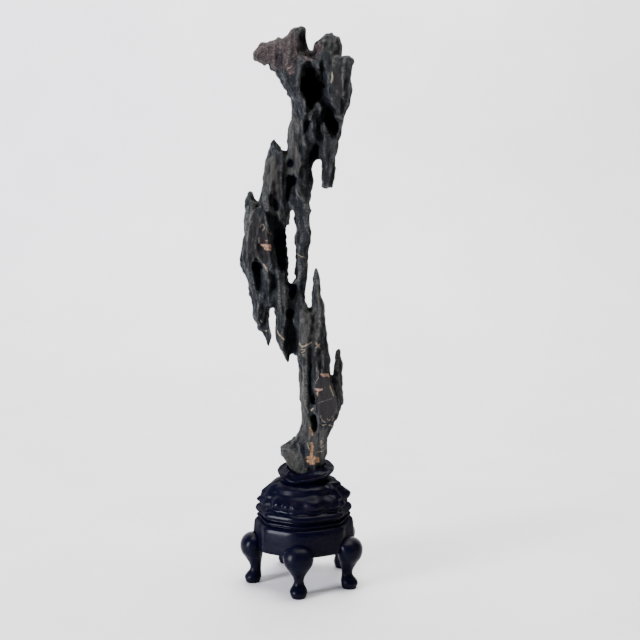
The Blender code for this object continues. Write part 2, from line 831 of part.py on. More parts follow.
def eased(listed, azimuth):
    """The value of a list of azimuths and values at one azimuth, eased between its points."""
    turn = (azimuth + 180) % 360 - 180
    for (start, low), (end, high) in zip(listed, listed[1:]):
        if start <= turn <= end:
            share = (turn - start) / (end - start)
            return low + (high - low) * (1 - math.cos(math.pi * share)) / 2
    return listed[0][1]


def body_rings(rows, grow):
    """Rings of the stand body, moved out by grow."""
    rings = []
    for height, radius, plan, knobs, wave, swell, oval in rows:
        ring = []
        for i in range(BODY_SIDES):
            azimuth = 360 * i / BODY_SIDES
            reach = radius + plan * corner_reach(azimuth) + grow
            reach += knobs * knob_reach(azimuth, height, radius)
            level = height + wave * eased(RIM_RISE, azimuth) + swell * eased(INNER_SWELL, azimuth)
            angle = math.radians(azimuth)
            across = math.sin(angle) * reach + wave * COLLAR_X
            ring.append(Vector((across, -math.cos(angle) * reach * oval, level)) * MM)
        rings.append(ring)
    return rings


def make_stand_body(collection, cutters, material):
    """Apron, band, knobbed dome and collar in one block, hollowed at the top for the foot of the rock."""
    bm = bmesh.new()
    skin_rings(bm, body_rings(BODY_RINGS, 0.0))
    body = new_object("stand_body", bm, collection, material)
    body.location.x = STAND_X * MM
    bm = bmesh.new()
    column(bm, SOCKET, flutes=0, flute_depth=0.0)
    socket = new_cutter("socket", bm, cutters)
    cut_away(body, "Socket", socket)
    body.data.shade_smooth()
    return body, socket


def make_leg_room(cutters):
    """The space that the body takes up, with the clearance round it, for cutting the legs to fit."""
    bm = bmesh.new()
    under, edge, *above = body_rings(BODY_RINGS[:LEG_ROOM_RINGS], GAP)
    drop = Vector((0, 0, GAP * MM))
    under = [point - drop for point in under]
    edge = [point - drop for point in edge]
    skin_rings(bm, [under, edge, *above])
    room = new_cutter("leg_room", bm, cutters)
    room.location.x = STAND_X * MM
    return room


def make_leg(name, azimuth, room, collection, material):
    """A cabriole leg: hoof, ankle and a full knee that is let into the apron's lower edge."""
    out = Vector((math.sin(azimuth), -math.cos(azimuth), 0))
    side = Vector((math.cos(azimuth), math.sin(azimuth), 0))
    rings = []
    for height, inner, outer, half_width in LEG_RINGS:
        centre = out * ((inner + outer) / 2) + Vector((0, 0, height))
        ring = []
        for i in range(LEG_SIDES):
            angle = 2 * math.pi * i / LEG_SIDES
            reach = math.cos(angle) * (outer - inner) / 2
            offset = out * reach + side * (math.sin(angle) * half_width)
            ring.append((centre + offset) * MM)
        rings.append(ring)
    bm = bmesh.new()
    skin_rings(bm, rings)
    leg = new_object(name, bm, collection, material)
    leg.location.x = STAND_X * MM
    cut_away(leg, "Fit", room)
    leg.data.shade_smooth()
    return leg


def centre_footprint(things, cutting):
    """Moves everything so that the middle of the things' bounding box is over the origin."""
    corners = [thing.matrix_world @ Vector(corner) for thing in things for corner in thing.bound_box]
    middle_x = (min(c.x for c in corners) + max(c.x for c in corners)) / 2
    middle_y = (min(c.y for c in corners) + max(c.y for c in corners)) / 2
    for thing in (*things, *cutting):
        thing.location.x -= middle_x
        thing.location.y -= middle_y


def main():
    for thing in list(bpy.data.objects):
        bpy.data.objects.remove(thing)
    parts = new_collection("scholars_rock")
    cutters = new_collection("cutters")
    stone = new_material("dark_limestone", (0.075, 0.07, 0.065), 0.55)
    rosewood = new_material("ebonised_rosewood", (0.012, 0.008, 0.011), 0.3)
    rock = make_rock(parts, cutters, stone)
    body, socket = make_stand_body(parts, cutters, rosewood)
    room = make_leg_room(cutters)
    legs = []
    for name, degrees in LEG_AZIMUTHS.items():
        legs.append(make_leg(name, math.radians(degrees), room, parts, rosewood))
    bpy.context.view_layer.update()
    centre_footprint([rock, body, *legs], [socket, room])


main()
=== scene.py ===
"""A scholar's rock in its carved, ebonised rosewood stand, on a pale table in soft daylight from the left.

The stone is one dark, fluted limestone with hollows, spikes, pale calcite veins and a smooth plum plate on
its lower right. The stand is turned and carved from one block, with five cabriole legs let into its apron.
Lengths are millimetres from the stand's axis on the table unless a name says otherwise, X to the right,
Y to the back and Z up.
"""

import math

import bmesh
import bpy
import numpy as np
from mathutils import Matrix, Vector, noise


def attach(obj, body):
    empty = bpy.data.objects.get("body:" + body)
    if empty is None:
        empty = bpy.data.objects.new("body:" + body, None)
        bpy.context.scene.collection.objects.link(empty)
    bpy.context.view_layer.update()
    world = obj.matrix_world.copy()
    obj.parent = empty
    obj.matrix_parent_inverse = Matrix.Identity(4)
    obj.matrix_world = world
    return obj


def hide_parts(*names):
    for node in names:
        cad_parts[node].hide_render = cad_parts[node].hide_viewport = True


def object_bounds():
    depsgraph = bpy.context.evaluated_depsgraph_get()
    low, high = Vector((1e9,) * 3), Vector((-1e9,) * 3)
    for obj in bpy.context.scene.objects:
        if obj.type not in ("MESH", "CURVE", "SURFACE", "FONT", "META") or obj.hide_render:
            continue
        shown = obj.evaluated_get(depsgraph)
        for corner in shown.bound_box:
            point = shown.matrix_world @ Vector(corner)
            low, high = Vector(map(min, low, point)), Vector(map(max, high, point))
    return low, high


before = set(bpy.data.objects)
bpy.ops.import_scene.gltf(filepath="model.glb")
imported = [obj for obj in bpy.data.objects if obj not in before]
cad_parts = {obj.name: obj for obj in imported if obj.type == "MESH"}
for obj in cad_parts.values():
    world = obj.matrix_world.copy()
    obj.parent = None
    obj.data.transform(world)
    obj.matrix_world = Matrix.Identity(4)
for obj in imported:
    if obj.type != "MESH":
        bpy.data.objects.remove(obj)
cad_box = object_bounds()


# The camera. It is above the stone's middle and a metre in front of it, and looks slightly down.

# Where the stand's axis stands in the frame of the CAD.
AXIS = np.array([3.63, 1.652, 0.0])
CAMERA = np.array([14.7, -1000.0, 370.0])
CAMERA_PITCH = 6.4
CAMERA_LENS = 59.23

scene = bpy.context.scene
camera_data = bpy.data.cameras.new("camera")
camera_data.lens = CAMERA_LENS
camera_data.sensor_width = 36.0
camera_data.clip_start = 0.01
camera = bpy.data.objects.new("camera", camera_data)
camera.location = Vector((CAMERA + AXIS) / 1000)
camera.rotation_euler = (math.radians(90 - CAMERA_PITCH), 0, 0)
scene.collection.objects.link(camera)
scene.camera = camera


# The stone. One piece of dark limestone, dissolved by water into long flutes with sharp crests between them,
# and into hollows, a slot and hanging spikes. It is made from the CAD solid, with a fine even skin whose
# flutes, hollows and ridges are cut by moving its points.

# The skin's voxel, in metres: about 191,000 triangles.
STONE_VOXEL = 0.00109

stone_bm = bmesh.new()
stone_bm.from_mesh(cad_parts["rock"].data)
bmesh.ops.remove_doubles(stone_bm, verts=stone_bm.verts, dist=0.00001)
stone_mesh = bpy.data.meshes.new("stone")
stone_bm.to_mesh(stone_mesh)
stone_bm.free()
stone = bpy.data.objects.new("stone", stone_mesh)
scene.collection.objects.link(stone)
remesh = stone.modifiers.new("Remesh", "REMESH")
remesh.mode = "VOXEL"
remesh.voxel_size = STONE_VOXEL
skin = bpy.data.meshes.new_from_object(stone.evaluated_get(bpy.context.evaluated_depsgraph_get()))
stone.modifiers.clear()
stone.data = skin


def points_of(mesh):
    """The vertices of a mesh as an array, in millimetres from the stand's axis."""
    points = np.empty(len(mesh.vertices) * 3, dtype=np.float32)
    mesh.vertices.foreach_get("co", points)
    return points.reshape(-1, 3).astype(float) * 1000 - AXIS


def set_points(mesh, points):
    """Puts such an array back into the mesh."""
    mesh.vertices.foreach_set("co", ((points + AXIS) / 1000).astype(np.float32).ravel())
    mesh.update()


def normals_of(mesh):
    """The vertex normals as an array."""
    normals = np.empty(len(mesh.vertices) * 3, dtype=np.float32)
    mesh.vertex_normals.foreach_get("vector", normals)
    return normals.reshape(-1, 3).astype(float)


def paint(mesh, name, values):
    """Stores one number a vertex, for the material to read."""
    attribute = mesh.attributes.new(name, "FLOAT", "POINT")
    attribute.data.foreach_set("value", values.astype(np.float32))


def relaxed(points, edges, rounds):
    """The points, each drawn halfway to the middle of its neighbours, a number of times."""
    count = np.bincount(edges.ravel(), minlength=len(points))[:, None]
    for _ in range(rounds):
        total = np.zeros_like(points)
        for axis in range(3):
            total[:, axis] += np.bincount(edges[:, 0], points[edges[:, 1], axis], len(points))
            total[:, axis] += np.bincount(edges[:, 1], points[edges[:, 0], axis], len(points))
        points = (points + total / count) / 2
    return points


def noise_at(points, scale):
    """Noise at each point, with its features that many millimetres long on each axis."""
    scaled = points / np.array(scale)
    return np.array([noise.noise(Vector(p)) for p in scaled])


def show_face(points):
    """Each point carried along the camera's line of sight to the upright plane through the stand's axis."""
    share = -CAMERA[1] / (points[:, 1] - CAMERA[1])
    return CAMERA[[0, 2]] + (points[:, [0, 2]] - CAMERA[[0, 2]]) * share[:, None]


def from_stroke(places, stroke):
    """How far each place is from a stroke of (x, z, radius) discs, in radii: under 1 inside it."""
    nearest = np.full(len(places), 99.0)
    discs = np.array(stroke, dtype=float)
    if len(discs) == 1:
        discs = np.vstack([discs, discs])
    for start, end in zip(discs, discs[1:]):
        line = end[:2] - start[:2]
        length = max(line @ line, 1e-9)
        share = np.clip((places - start[:2]) @ line / length, 0, 1)
        centre = start[:2] + share[:, None] * line
        radius = start[2] + share * (end[2] - start[2])
        nearest = np.minimum(nearest, np.linalg.norm(places - centre, axis=1) / radius)
    return nearest


def in_polygon(places, corners):
    """Distance inside a polygon's outline, negative outside, in millimetres."""
    inside = np.zeros(len(places), dtype=bool)
    nearest = np.full(len(places), 99.0)
    ring = np.array(corners, dtype=float)
    for start, end in zip(ring, np.roll(ring, -1, axis=0)):
        line = end - start
        share = np.clip((places - start) @ line / (line @ line), 0, 1)
        nearest = np.minimum(nearest, np.linalg.norm(places - start - share[:, None] * line, axis=1))
        crosses = (start[1] > places[:, 1]) != (end[1] > places[:, 1])
        with np.errstate(divide="ignore", invalid="ignore"):
            at = start[0] + (places[:, 1] - start[1]) * line[0] / line[1]
        inside ^= crosses & (places[:, 0] < at)
    return np.where(inside, nearest, -nearest)


# Hollows on the show face: depth before HOLLOW_SHARE, how dark the painted shade inside is, and the outline.
STONE_HOLLOWS = [
    (9, 1.0, [(5, 495.5), (9, 493.5), (10.5, 487.5), (13.5, 485), (14.5, 481.5), (18, 480), (19, 477),
              (16, 474.5), (16.5, 471), (14, 467.5), (11, 467), (9.5, 463), (7, 457.5), (4, 457.5),
              (1.5, 461), (2.5, 465.5), (0, 468.5), (-2, 473.5), (-4, 476.5), (-4.5, 481.5), (-4, 485.5),
              (-0.5, 487.5), (0.5, 491), (2, 494.5)]),
    (3, 0.62, [(15.5, 499), (18, 493.5), (18.5, 484.5), (20.5, 477.5), (20, 468.5), (21, 463.5),
               (24.5, 461.5), (25.5, 457), (28.5, 449.5), (32, 444.5), (31.5, 438), (26, 435.5),
               (21.5, 441), (18, 445.5), (15.5, 452.5), (14.5, 461.5), (13, 468.5), (16.5, 471), (18, 479),
               (15.5, 487), (14.5, 493.5)]),
    (6, 1.0, [(21, 457.5), (24.5, 457), (26.5, 451), (32, 444.5), (31.5, 438), (26, 435.5), (21.5, 441),
              (19, 444.5), (20, 451)]),
    (1.8, 0.34, [(-27, 507), (-21, 507.5), (-18, 502.5), (-19.5, 496), (-23, 493.5), (-27, 498),
                 (-28, 503)]),
    (1.0, 0.22, [(-8, 521.5), (-4, 527), (1, 528), (2, 523), (2, 515.5), (3.5, 510.5), (1.5, 507),
                 (-2, 507.5), (-4, 512.5), (-6.5, 515.5), (-8, 519)]),
    (3, 0.75, [(-0.5, 445.5), (3, 446.5), (7, 445.5), (5, 443), (3, 439), (1.5, 433.5), (-1.5, 432),
               (-2.5, 439), (-1.5, 443)]),
    (4, 0.85, [(7, 422), (11, 425.5), (14, 422.5), (14.5, 414.5), (11, 411), (8, 408), (5.5, 403.5),
               (4.5, 412), (5.5, 418)]),
    (0.8, 0.24, [(-19, 420), (-13, 421), (-6, 419), (-7, 409), (-8, 398), (-13, 396), (-19.5, 398)]),
    (1.5, 0.45, [(-5.5, 421.5), (-1.5, 424), (5.5, 417.5), (5, 412), (5.5, 402.5), (4, 395.5),
                 (-0.5, 403.5), (-4, 412), (-6, 417.5)]),
    (3, 0.85, [(-16.5, 408.5), (-14.5, 411), (-11.5, 410.8), (-9.5, 408.5), (-9, 405), (-10.5, 402.4),
               (-13, 401.2), (-15.5, 402.6), (-16.8, 405.4)]),
    (4, 0.95, [(-17.5, 392.5), (-15, 396), (-10, 395.5), (-7.5, 392), (-8.5, 387), (-10.5, 385),
               (-13.5, 380), (-15, 373.5), (-15.5, 368), (-17, 368), (-18.5, 374.5), (-17.5, 381.5),
               (-17.2, 387)]),
    (5, 0.95, [(-30.5, 334), (-28.5, 338.5), (-25, 342), (-21, 345), (-18.5, 345.5), (-18, 333.5),
               (-18.5, 326.5), (-18, 318.5), (-18.5, 306), (-22.5, 304), (-25.5, 310), (-27.5, 318.5),
               (-28.5, 326.5), (-31, 333.5), (-31.5, 338.5)]),
    (0.5, 0.7, [(-30, 346), (-18.5, 346), (-18.5, 333), (-30, 333)]),
    (1.6, 0.36, [(-36, 358), (-31, 358), (-26, 354), (-20, 350), (-18, 343), (-18.5, 336), (-30.5, 338),
                 (-34, 349)]),
    (4, 0.95, [(-49, 311.5), (-46, 314.5), (-41.5, 313.5), (-40, 308.5), (-41, 304), (-44.5, 301.5),
               (-48, 303), (-49.5, 307.5)]),
    (2, 0.5, [(-48, 303), (-41, 304), (-39.5, 297.5), (-40.5, 290.5), (-43, 285), (-46, 290.5)]),
    (2, 0.36, [(-29.5, 373.5), (-24.5, 374), (-23, 369.5), (-26.5, 364.5), (-30.5, 366.5), (-31.5, 370.5)]),
    (1.8, 0.45, [(-31, 304), (-27, 303.5), (-24.5, 294), (-25, 284), (-28, 282), (-30.5, 292)]),
    (3.5, 0.9, [(-16, 292.5), (-7.5, 292.5), (-7, 286.5), (-9, 281), (-13, 276.5), (-16, 282.5)]),
    (1.6, 0.42, [(-17, 280), (-10, 280), (-8, 270), (-10, 262), (-17, 262)]),
    (3.5, 0.9, [(-17.5, 267.5), (-12, 269.5), (-9.5, 265), (-11, 259.5), (-16, 258), (-18, 262.5)]),
    (2, 0.46, [(-18.5, 260), (-10.5, 259), (-6.5, 249.5), (-6.5, 239.5), (-7, 226.5), (-13, 225),
               (-16.5, 223.5), (-19, 225.5), (-19.5, 241)]),
    (1.5, 0.36, [(1.5, 232), (8, 231), (9, 222.5), (8.5, 215.5), (3.5, 217), (2, 222.5)]),
    (2.6, 0.5, [(3.5, 217), (8.5, 215.5), (8.5, 205.5), (8, 198.5), (6.5, 187), (4, 186), (3, 193),
                (4, 201.5), (3.5, 210)]),
    (3.5, 1.0, [(5.5, 185), (9, 185.5), (11, 181), (10, 176), (7.5, 175.5), (4.5, 178)]),
    (1.2, 0.8, [(0.5, 178), (2, 177.5), (4.5, 171), (7, 166), (5.5, 166), (2.8, 171)]),
    (3.5, 0.9, [(6, 165), (11, 167), (13.5, 163), (12.5, 156), (11.5, 148.5), (9.5, 150), (7.5, 156),
                (5.5, 160)]),
    (1.6, 0.7, [(-4, 137), (0.5, 134), (1.5, 125.5), (0, 118.5), (-2, 122.5), (-4.5, 130)]),
    (2, 0.9, [(27, 211.5), (28, 204), (29, 195.5), (30, 187), (29, 188.5), (27, 197), (26.5, 203)]),
]
# Sharp crests between the flutes, raised and painted paler.
STONE_CRESTS = [
    (0.9, [(-7.8, 425.5, 0.5), (-6.4, 420, 1.1), (-6.2, 413, 0.6)]),
    (0.9, [(-8, 399, 0.6), (-8.2, 391, 1), (-8, 373, 0.8)]),
    (0.7, [(-1.4, 372, 0.5), (0, 366, 0.8), (2.4, 360.5, 0.5)]),
    (0.7, [(24, 492, 0.5), (25.6, 484, 1.1), (25.4, 478, 0.6)]),
    (1.1, [(25.5, 454, 0.5), (28.5, 450.4, 1), (33, 448.6, 1), (37, 451, 0.7)]),
    (0.7, [(35.4, 494, 0.6), (36, 480, 0.9), (36.6, 466, 0.6)]),
    (0.8, [(-53.6, 366, 0.7), (-54.2, 356, 1.2), (-54.6, 344, 1), (-56, 333, 0.6)]),
    (1.6, [(-37, 374, 2), (-34, 365, 2.6), (-27, 359.6, 2.6), (-19, 356.5, 2)]),
    (0.7, [(-46, 368, 0.6), (-48.4, 362, 1), (-50.6, 357, 0.7)]),
    (0.8, [(-35.6, 312, 0.5), (-33.8, 307, 1), (-32.2, 302, 0.6)]),
    (0.7, [(-20, 300, 0.5), (-19.2, 286, 0.8), (-18.6, 272, 0.6)]),
    (0.8, [(0.8, 352, 0.5), (2.4, 344, 0.9), (4.2, 338, 0.5)]),
    (0.9, [(-24.6, 300, 0.6), (-24, 276, 0.9), (-21.4, 262, 0.6)]),
    (0.8, [(12, 296, 0.5), (13, 282, 1), (14.4, 266, 0.8), (14.8, 250, 0.5)]),
    (0.9, [(11.6, 214, 0.5), (12.2, 206, 1), (11.2, 197, 0.7)]),
    (0.8, [(1, 214, 0.6), (1.4, 196, 1), (0.6, 180, 1), (3, 166, 0.6)]),
    (1.0, [(-6.6, 137, 0.8), (-5, 131, 1.3), (-1.8, 124, 0.8)]),
    (0.8, [(-24, 134.5, 0.8), (-20, 132.5, 1), (-15, 134, 0.8), (-9, 141, 0.8), (-6, 147, 0.6)]),
    (0.7, [(30.8, 232, 0.5), (31.4, 220, 0.8), (33, 204, 0.8), (35.6, 190, 0.6)]),
]
# Tips and corners drawn out a little: x, z, radius, and how far to the right and up.
STONE_PUSHES = [
    (-24.3, 519.1, 3.2, 0, 2.6), (-40, 514.6, 3, 0, 1.8), (-10.6, 527.3, 3, 0, 1.4), (-2.5, 531, 3, 0, 1.2),
    (-33.4, 494.2, 2.6, 0, 3.2), (-29, 488.7, 2.6, 1.4, 2.4), (-45, 507.4, 2.6, -1.2, 0.6),
    (34.3, 514, 3, 1.2, 0), (44.5, 500.5, 3.5, 2, 0), (43.4, 471.5, 6, 1, 0), (18.2, 385, 2.4, -0.8, -1.6),
    (26, 384.5, 2.4, 0.8, -1.8), (-16.2, 221.6, 1.9, 0, -4.8), (-34, 235.5, 2.6, 0.2, -3.2),
    (-38, 244.8, 2.4, -2, 0), (-40.6, 250, 2.4, -1.4, 0), (-36.6, 240, 2.2, -1.4, -0.6),
    (-19, 222, 2.4, 0.4, -1.2), (-27.8, 427.5, 2, 0.2, 1.8), (10.2, 307, 2.4, 0, 1.4),
    (-18.5, 345, 6, 1.3, 0), (-18.5, 334, 6, 1.5, 0), (-18.5, 322, 6, 1.5, 0), (-18.5, 310, 6, 1.2, 0),
    (5, 334, 4, 1.6, 0), (32.6, 231.5, 2.2, 0, 1.2), (-25, 134.5, 2.4, -1.2, 0.8),
    (46.5, 503.5, 2.4, 0.4, 1), (38.6, 505, 2, 0, -1.2), (5.2, 362.4, 5, 1.3, 0), (5.4, 340.4, 5, 1.5, 0),
    (5.1, 330.1, 4, 1.2, 0), (-51.2, 376.9, 2.6, 0.5, 2.2),
]
# The smooth plate on the lower right, left standing by a harder bed.
STONE_PLATE = [(14.5, 207), (22, 207), (24.5, 203), (26.5, 198.5), (29, 187), (32.5, 177), (31.5, 170),
               (28, 166), (23.5, 160), (20, 157), (15, 164.5), (13, 173), (12, 178.5), (13, 183), (11, 187),
               (9.5, 194.5), (13, 200), (14, 203.5)]

# How far behind the stand's axis the show face reaches, and over how much it fades.
SHOW_DEPTH = 24
SHOW_FADE = 8
SOCKETED_BELOW = 106
# The flutes sway sideways and back by this much, over this distance on each axis.
FLUTE_SWAY = (7, 4)
SWAY_LENGTH = (30, 30, 46)
# Depth of each kind of relief, and how long its features are on each axis.
BROAD_DEPTH, BROAD_SIZE = 2.2, (8, 8, 44)
NARROW_DEPTH, NARROW_SIZE = 1.2, (3.6, 3.6, 20)
KNOT_DEPTH, KNOT_SIZE = 0.7, (7, 7, 10)
LUMP_DEPTH, LUMP_SIZE = 0.85, (3.4, 3.4, 4.6)
WOBBLE_SIZE = (5, 5, 9)
# About what the flutes take off on average, which is given back so that the stone keeps its girth.
FLUTE_MEAN = 1.35
FLUTE_SHARPNESS = 2.4
# The crown's left spur: its edge and underside, how much calmer its flutes are, and its extra knots.
SPUR_EDGE, SPUR_UNDERSIDE, SPUR_FADE = -14, 490, 8
SPUR_CALM, SPUR_KNOTS = 0.6, 0.9
# The long slot: its middle, foot, top and half width, and how far and how often its sides wave.
SLOT_X, SLOT_FOOT, SLOT_TOP, SLOT_REACH = -13.5, 296, 364, 7
SLOT_WAVE, SLOT_WAVE_SIZE, SLOT_FADE = 2.4, (30, 30, 4.4), 6
# How much of its listed depth a hollow gets, how wide its wall is where it is darkest and how much wider
# where it is faintest, how far its outline wobbles, and how much of the wall lies outside the outline.
HOLLOW_SHARE = 0.8
WALL_WIDTH, WALL_EXTRA = 1.4, 2.6
HOLLOW_WOBBLE, WALL_START = 0.9, 0.3
# A crest's height at its middle line before it is cut off flat at 1, and how fast it falls away.
CREST_TOP, CREST_FALL = 1.25, 0.55
PLATE_EDGE, PLATE_RISE = 1.2, 0.5
# Clear distance to the sides of the CAD solid's box.
BOX_MARGIN = 0.05

edges = np.empty(len(skin.edges) * 2, dtype=np.int32)
skin.edges.foreach_get("vertices", edges)
edges = edges.reshape(-1, 2)
place = relaxed(points_of(skin), edges, 2)
set_points(skin, place)
normal = normals_of(skin)
# Hollows and crests are cut wherever the surface isn't turned back, and marks only where it faces the front.
shown = np.clip((SHOW_DEPTH - place[:, 1]) / SHOW_FADE, 0, 1)
facing = np.clip(0.9 - normal[:, 1] * 3, 0, 1) * shown
front = np.clip(0.25 - normal[:, 1] * 3.5, 0, 1) * shown
face = show_face(place)
shrunk = np.linalg.norm(relaxed(place, edges, 12) - place, axis=1)
# Thin spikes and the foot in its socket are cut less.
thick = np.clip(1.5 - shrunk * 0.9, 0.15, 1) * np.clip((place[:, 2] - SOCKETED_BELOW) / 8, 0.2, 1)
plate = np.clip(in_polygon(face, STONE_PLATE) / PLATE_EDGE, -1, 1) * 0.5 + 0.5
plate = plate * facing
wobble = noise_at(place, WOBBLE_SIZE)

# Flutes, broad ones and narrow ones between them, run down the stone, with knots and lumps on them.
sway = noise_at(place, SWAY_LENGTH)
swaying = place + np.stack([sway * FLUTE_SWAY[0], sway * FLUTE_SWAY[1], np.zeros(len(place))], axis=1)
broad = np.clip(FLUTE_SHARPNESS * np.abs(noise_at(swaying, BROAD_SIZE)), 0, 1)
narrow = np.clip(FLUTE_SHARPNESS * np.abs(noise_at(swaying + 31, NARROW_SIZE)), 0, 1)
knots = noise_at(place + 77, KNOT_SIZE)
lumps = noise_at(place + 13, LUMP_SIZE)
left_of_edge = np.clip((SPUR_EDGE - face[:, 0]) / SPUR_FADE, 0, 1)
on_spur = left_of_edge * np.clip((face[:, 1] - SPUR_UNDERSIDE) / SPUR_FADE, 0, 1)
calm = (1 - 0.85 * plate) * thick
flutes = BROAD_DEPTH * broad + NARROW_DEPTH * narrow - FLUTE_MEAN
cut = calm * (flutes * (1 - SPUR_CALM * on_spur) + (KNOT_DEPTH + SPUR_KNOTS * on_spur) * knots
              + LUMP_DEPTH * lumps)
place = place - normal * cut[:, None]
in_slot = np.exp(-((place[:, 0] - SLOT_X) / SLOT_REACH) ** 4)
in_slot = in_slot * np.clip((place[:, 2] - SLOT_FOOT) / SLOT_FADE, 0, 1)
in_slot = in_slot * np.clip((SLOT_TOP - place[:, 2]) / SLOT_FADE, 0, 1)
place[:, 0] += in_slot * SLOT_WAVE * noise_at(place, SLOT_WAVE_SIZE) * np.sign(normal[:, 0])
for x, z, radius, right, up in STONE_PUSHES:
    near = np.exp(-((face[:, 0] - x) ** 2 + (face[:, 1] - z) ** 2) / radius ** 2)
    place[:, 0] += right * near
    place[:, 2] += up * near

# How much painted shade each point gets from the hollows: a hollow's darkness, as far as the point lies in
# its wall.
hollow_shade = np.zeros(len(place))
for depth, darkness, outline in STONE_HOLLOWS:
    soft = WALL_WIDTH + WALL_EXTRA * (1 - darkness)
    wall = np.clip((in_polygon(face, outline) + HOLLOW_WOBBLE * wobble) / soft + WALL_START, 0, 1)
    wall = wall * wall * (3 - 2 * wall) * facing
    place[:, 1] += depth * wall * HOLLOW_SHARE
    hollow_shade = np.maximum(hollow_shade, wall * darkness)
crest = np.zeros(len(place))
for height, stroke in STONE_CRESTS:
    ridge = np.clip(CREST_TOP - from_stroke(face, stroke) * CREST_FALL, 0, 1) ** 2 * facing
    place = place + normal * (height * ridge)[:, None]
    crest = np.maximum(crest, ridge)
place = place + normal * (plate * PLATE_RISE)[:, None]
place = relaxed(place, edges, 1)

# What the material reads: how hollow or proud each point is, where the hollows are with how much painted
# shade each gives, and where the crests are.
smooth = relaxed(place, edges, 24)
proud = np.einsum("ij,ij->i", place - smooth, normal)
paint(skin, "proud", np.clip(proud / 1.6, -1, 1))
paint(skin, "hollow", hollow_shade)
paint(skin, "crest", crest)
paint(skin, "plate", plate)
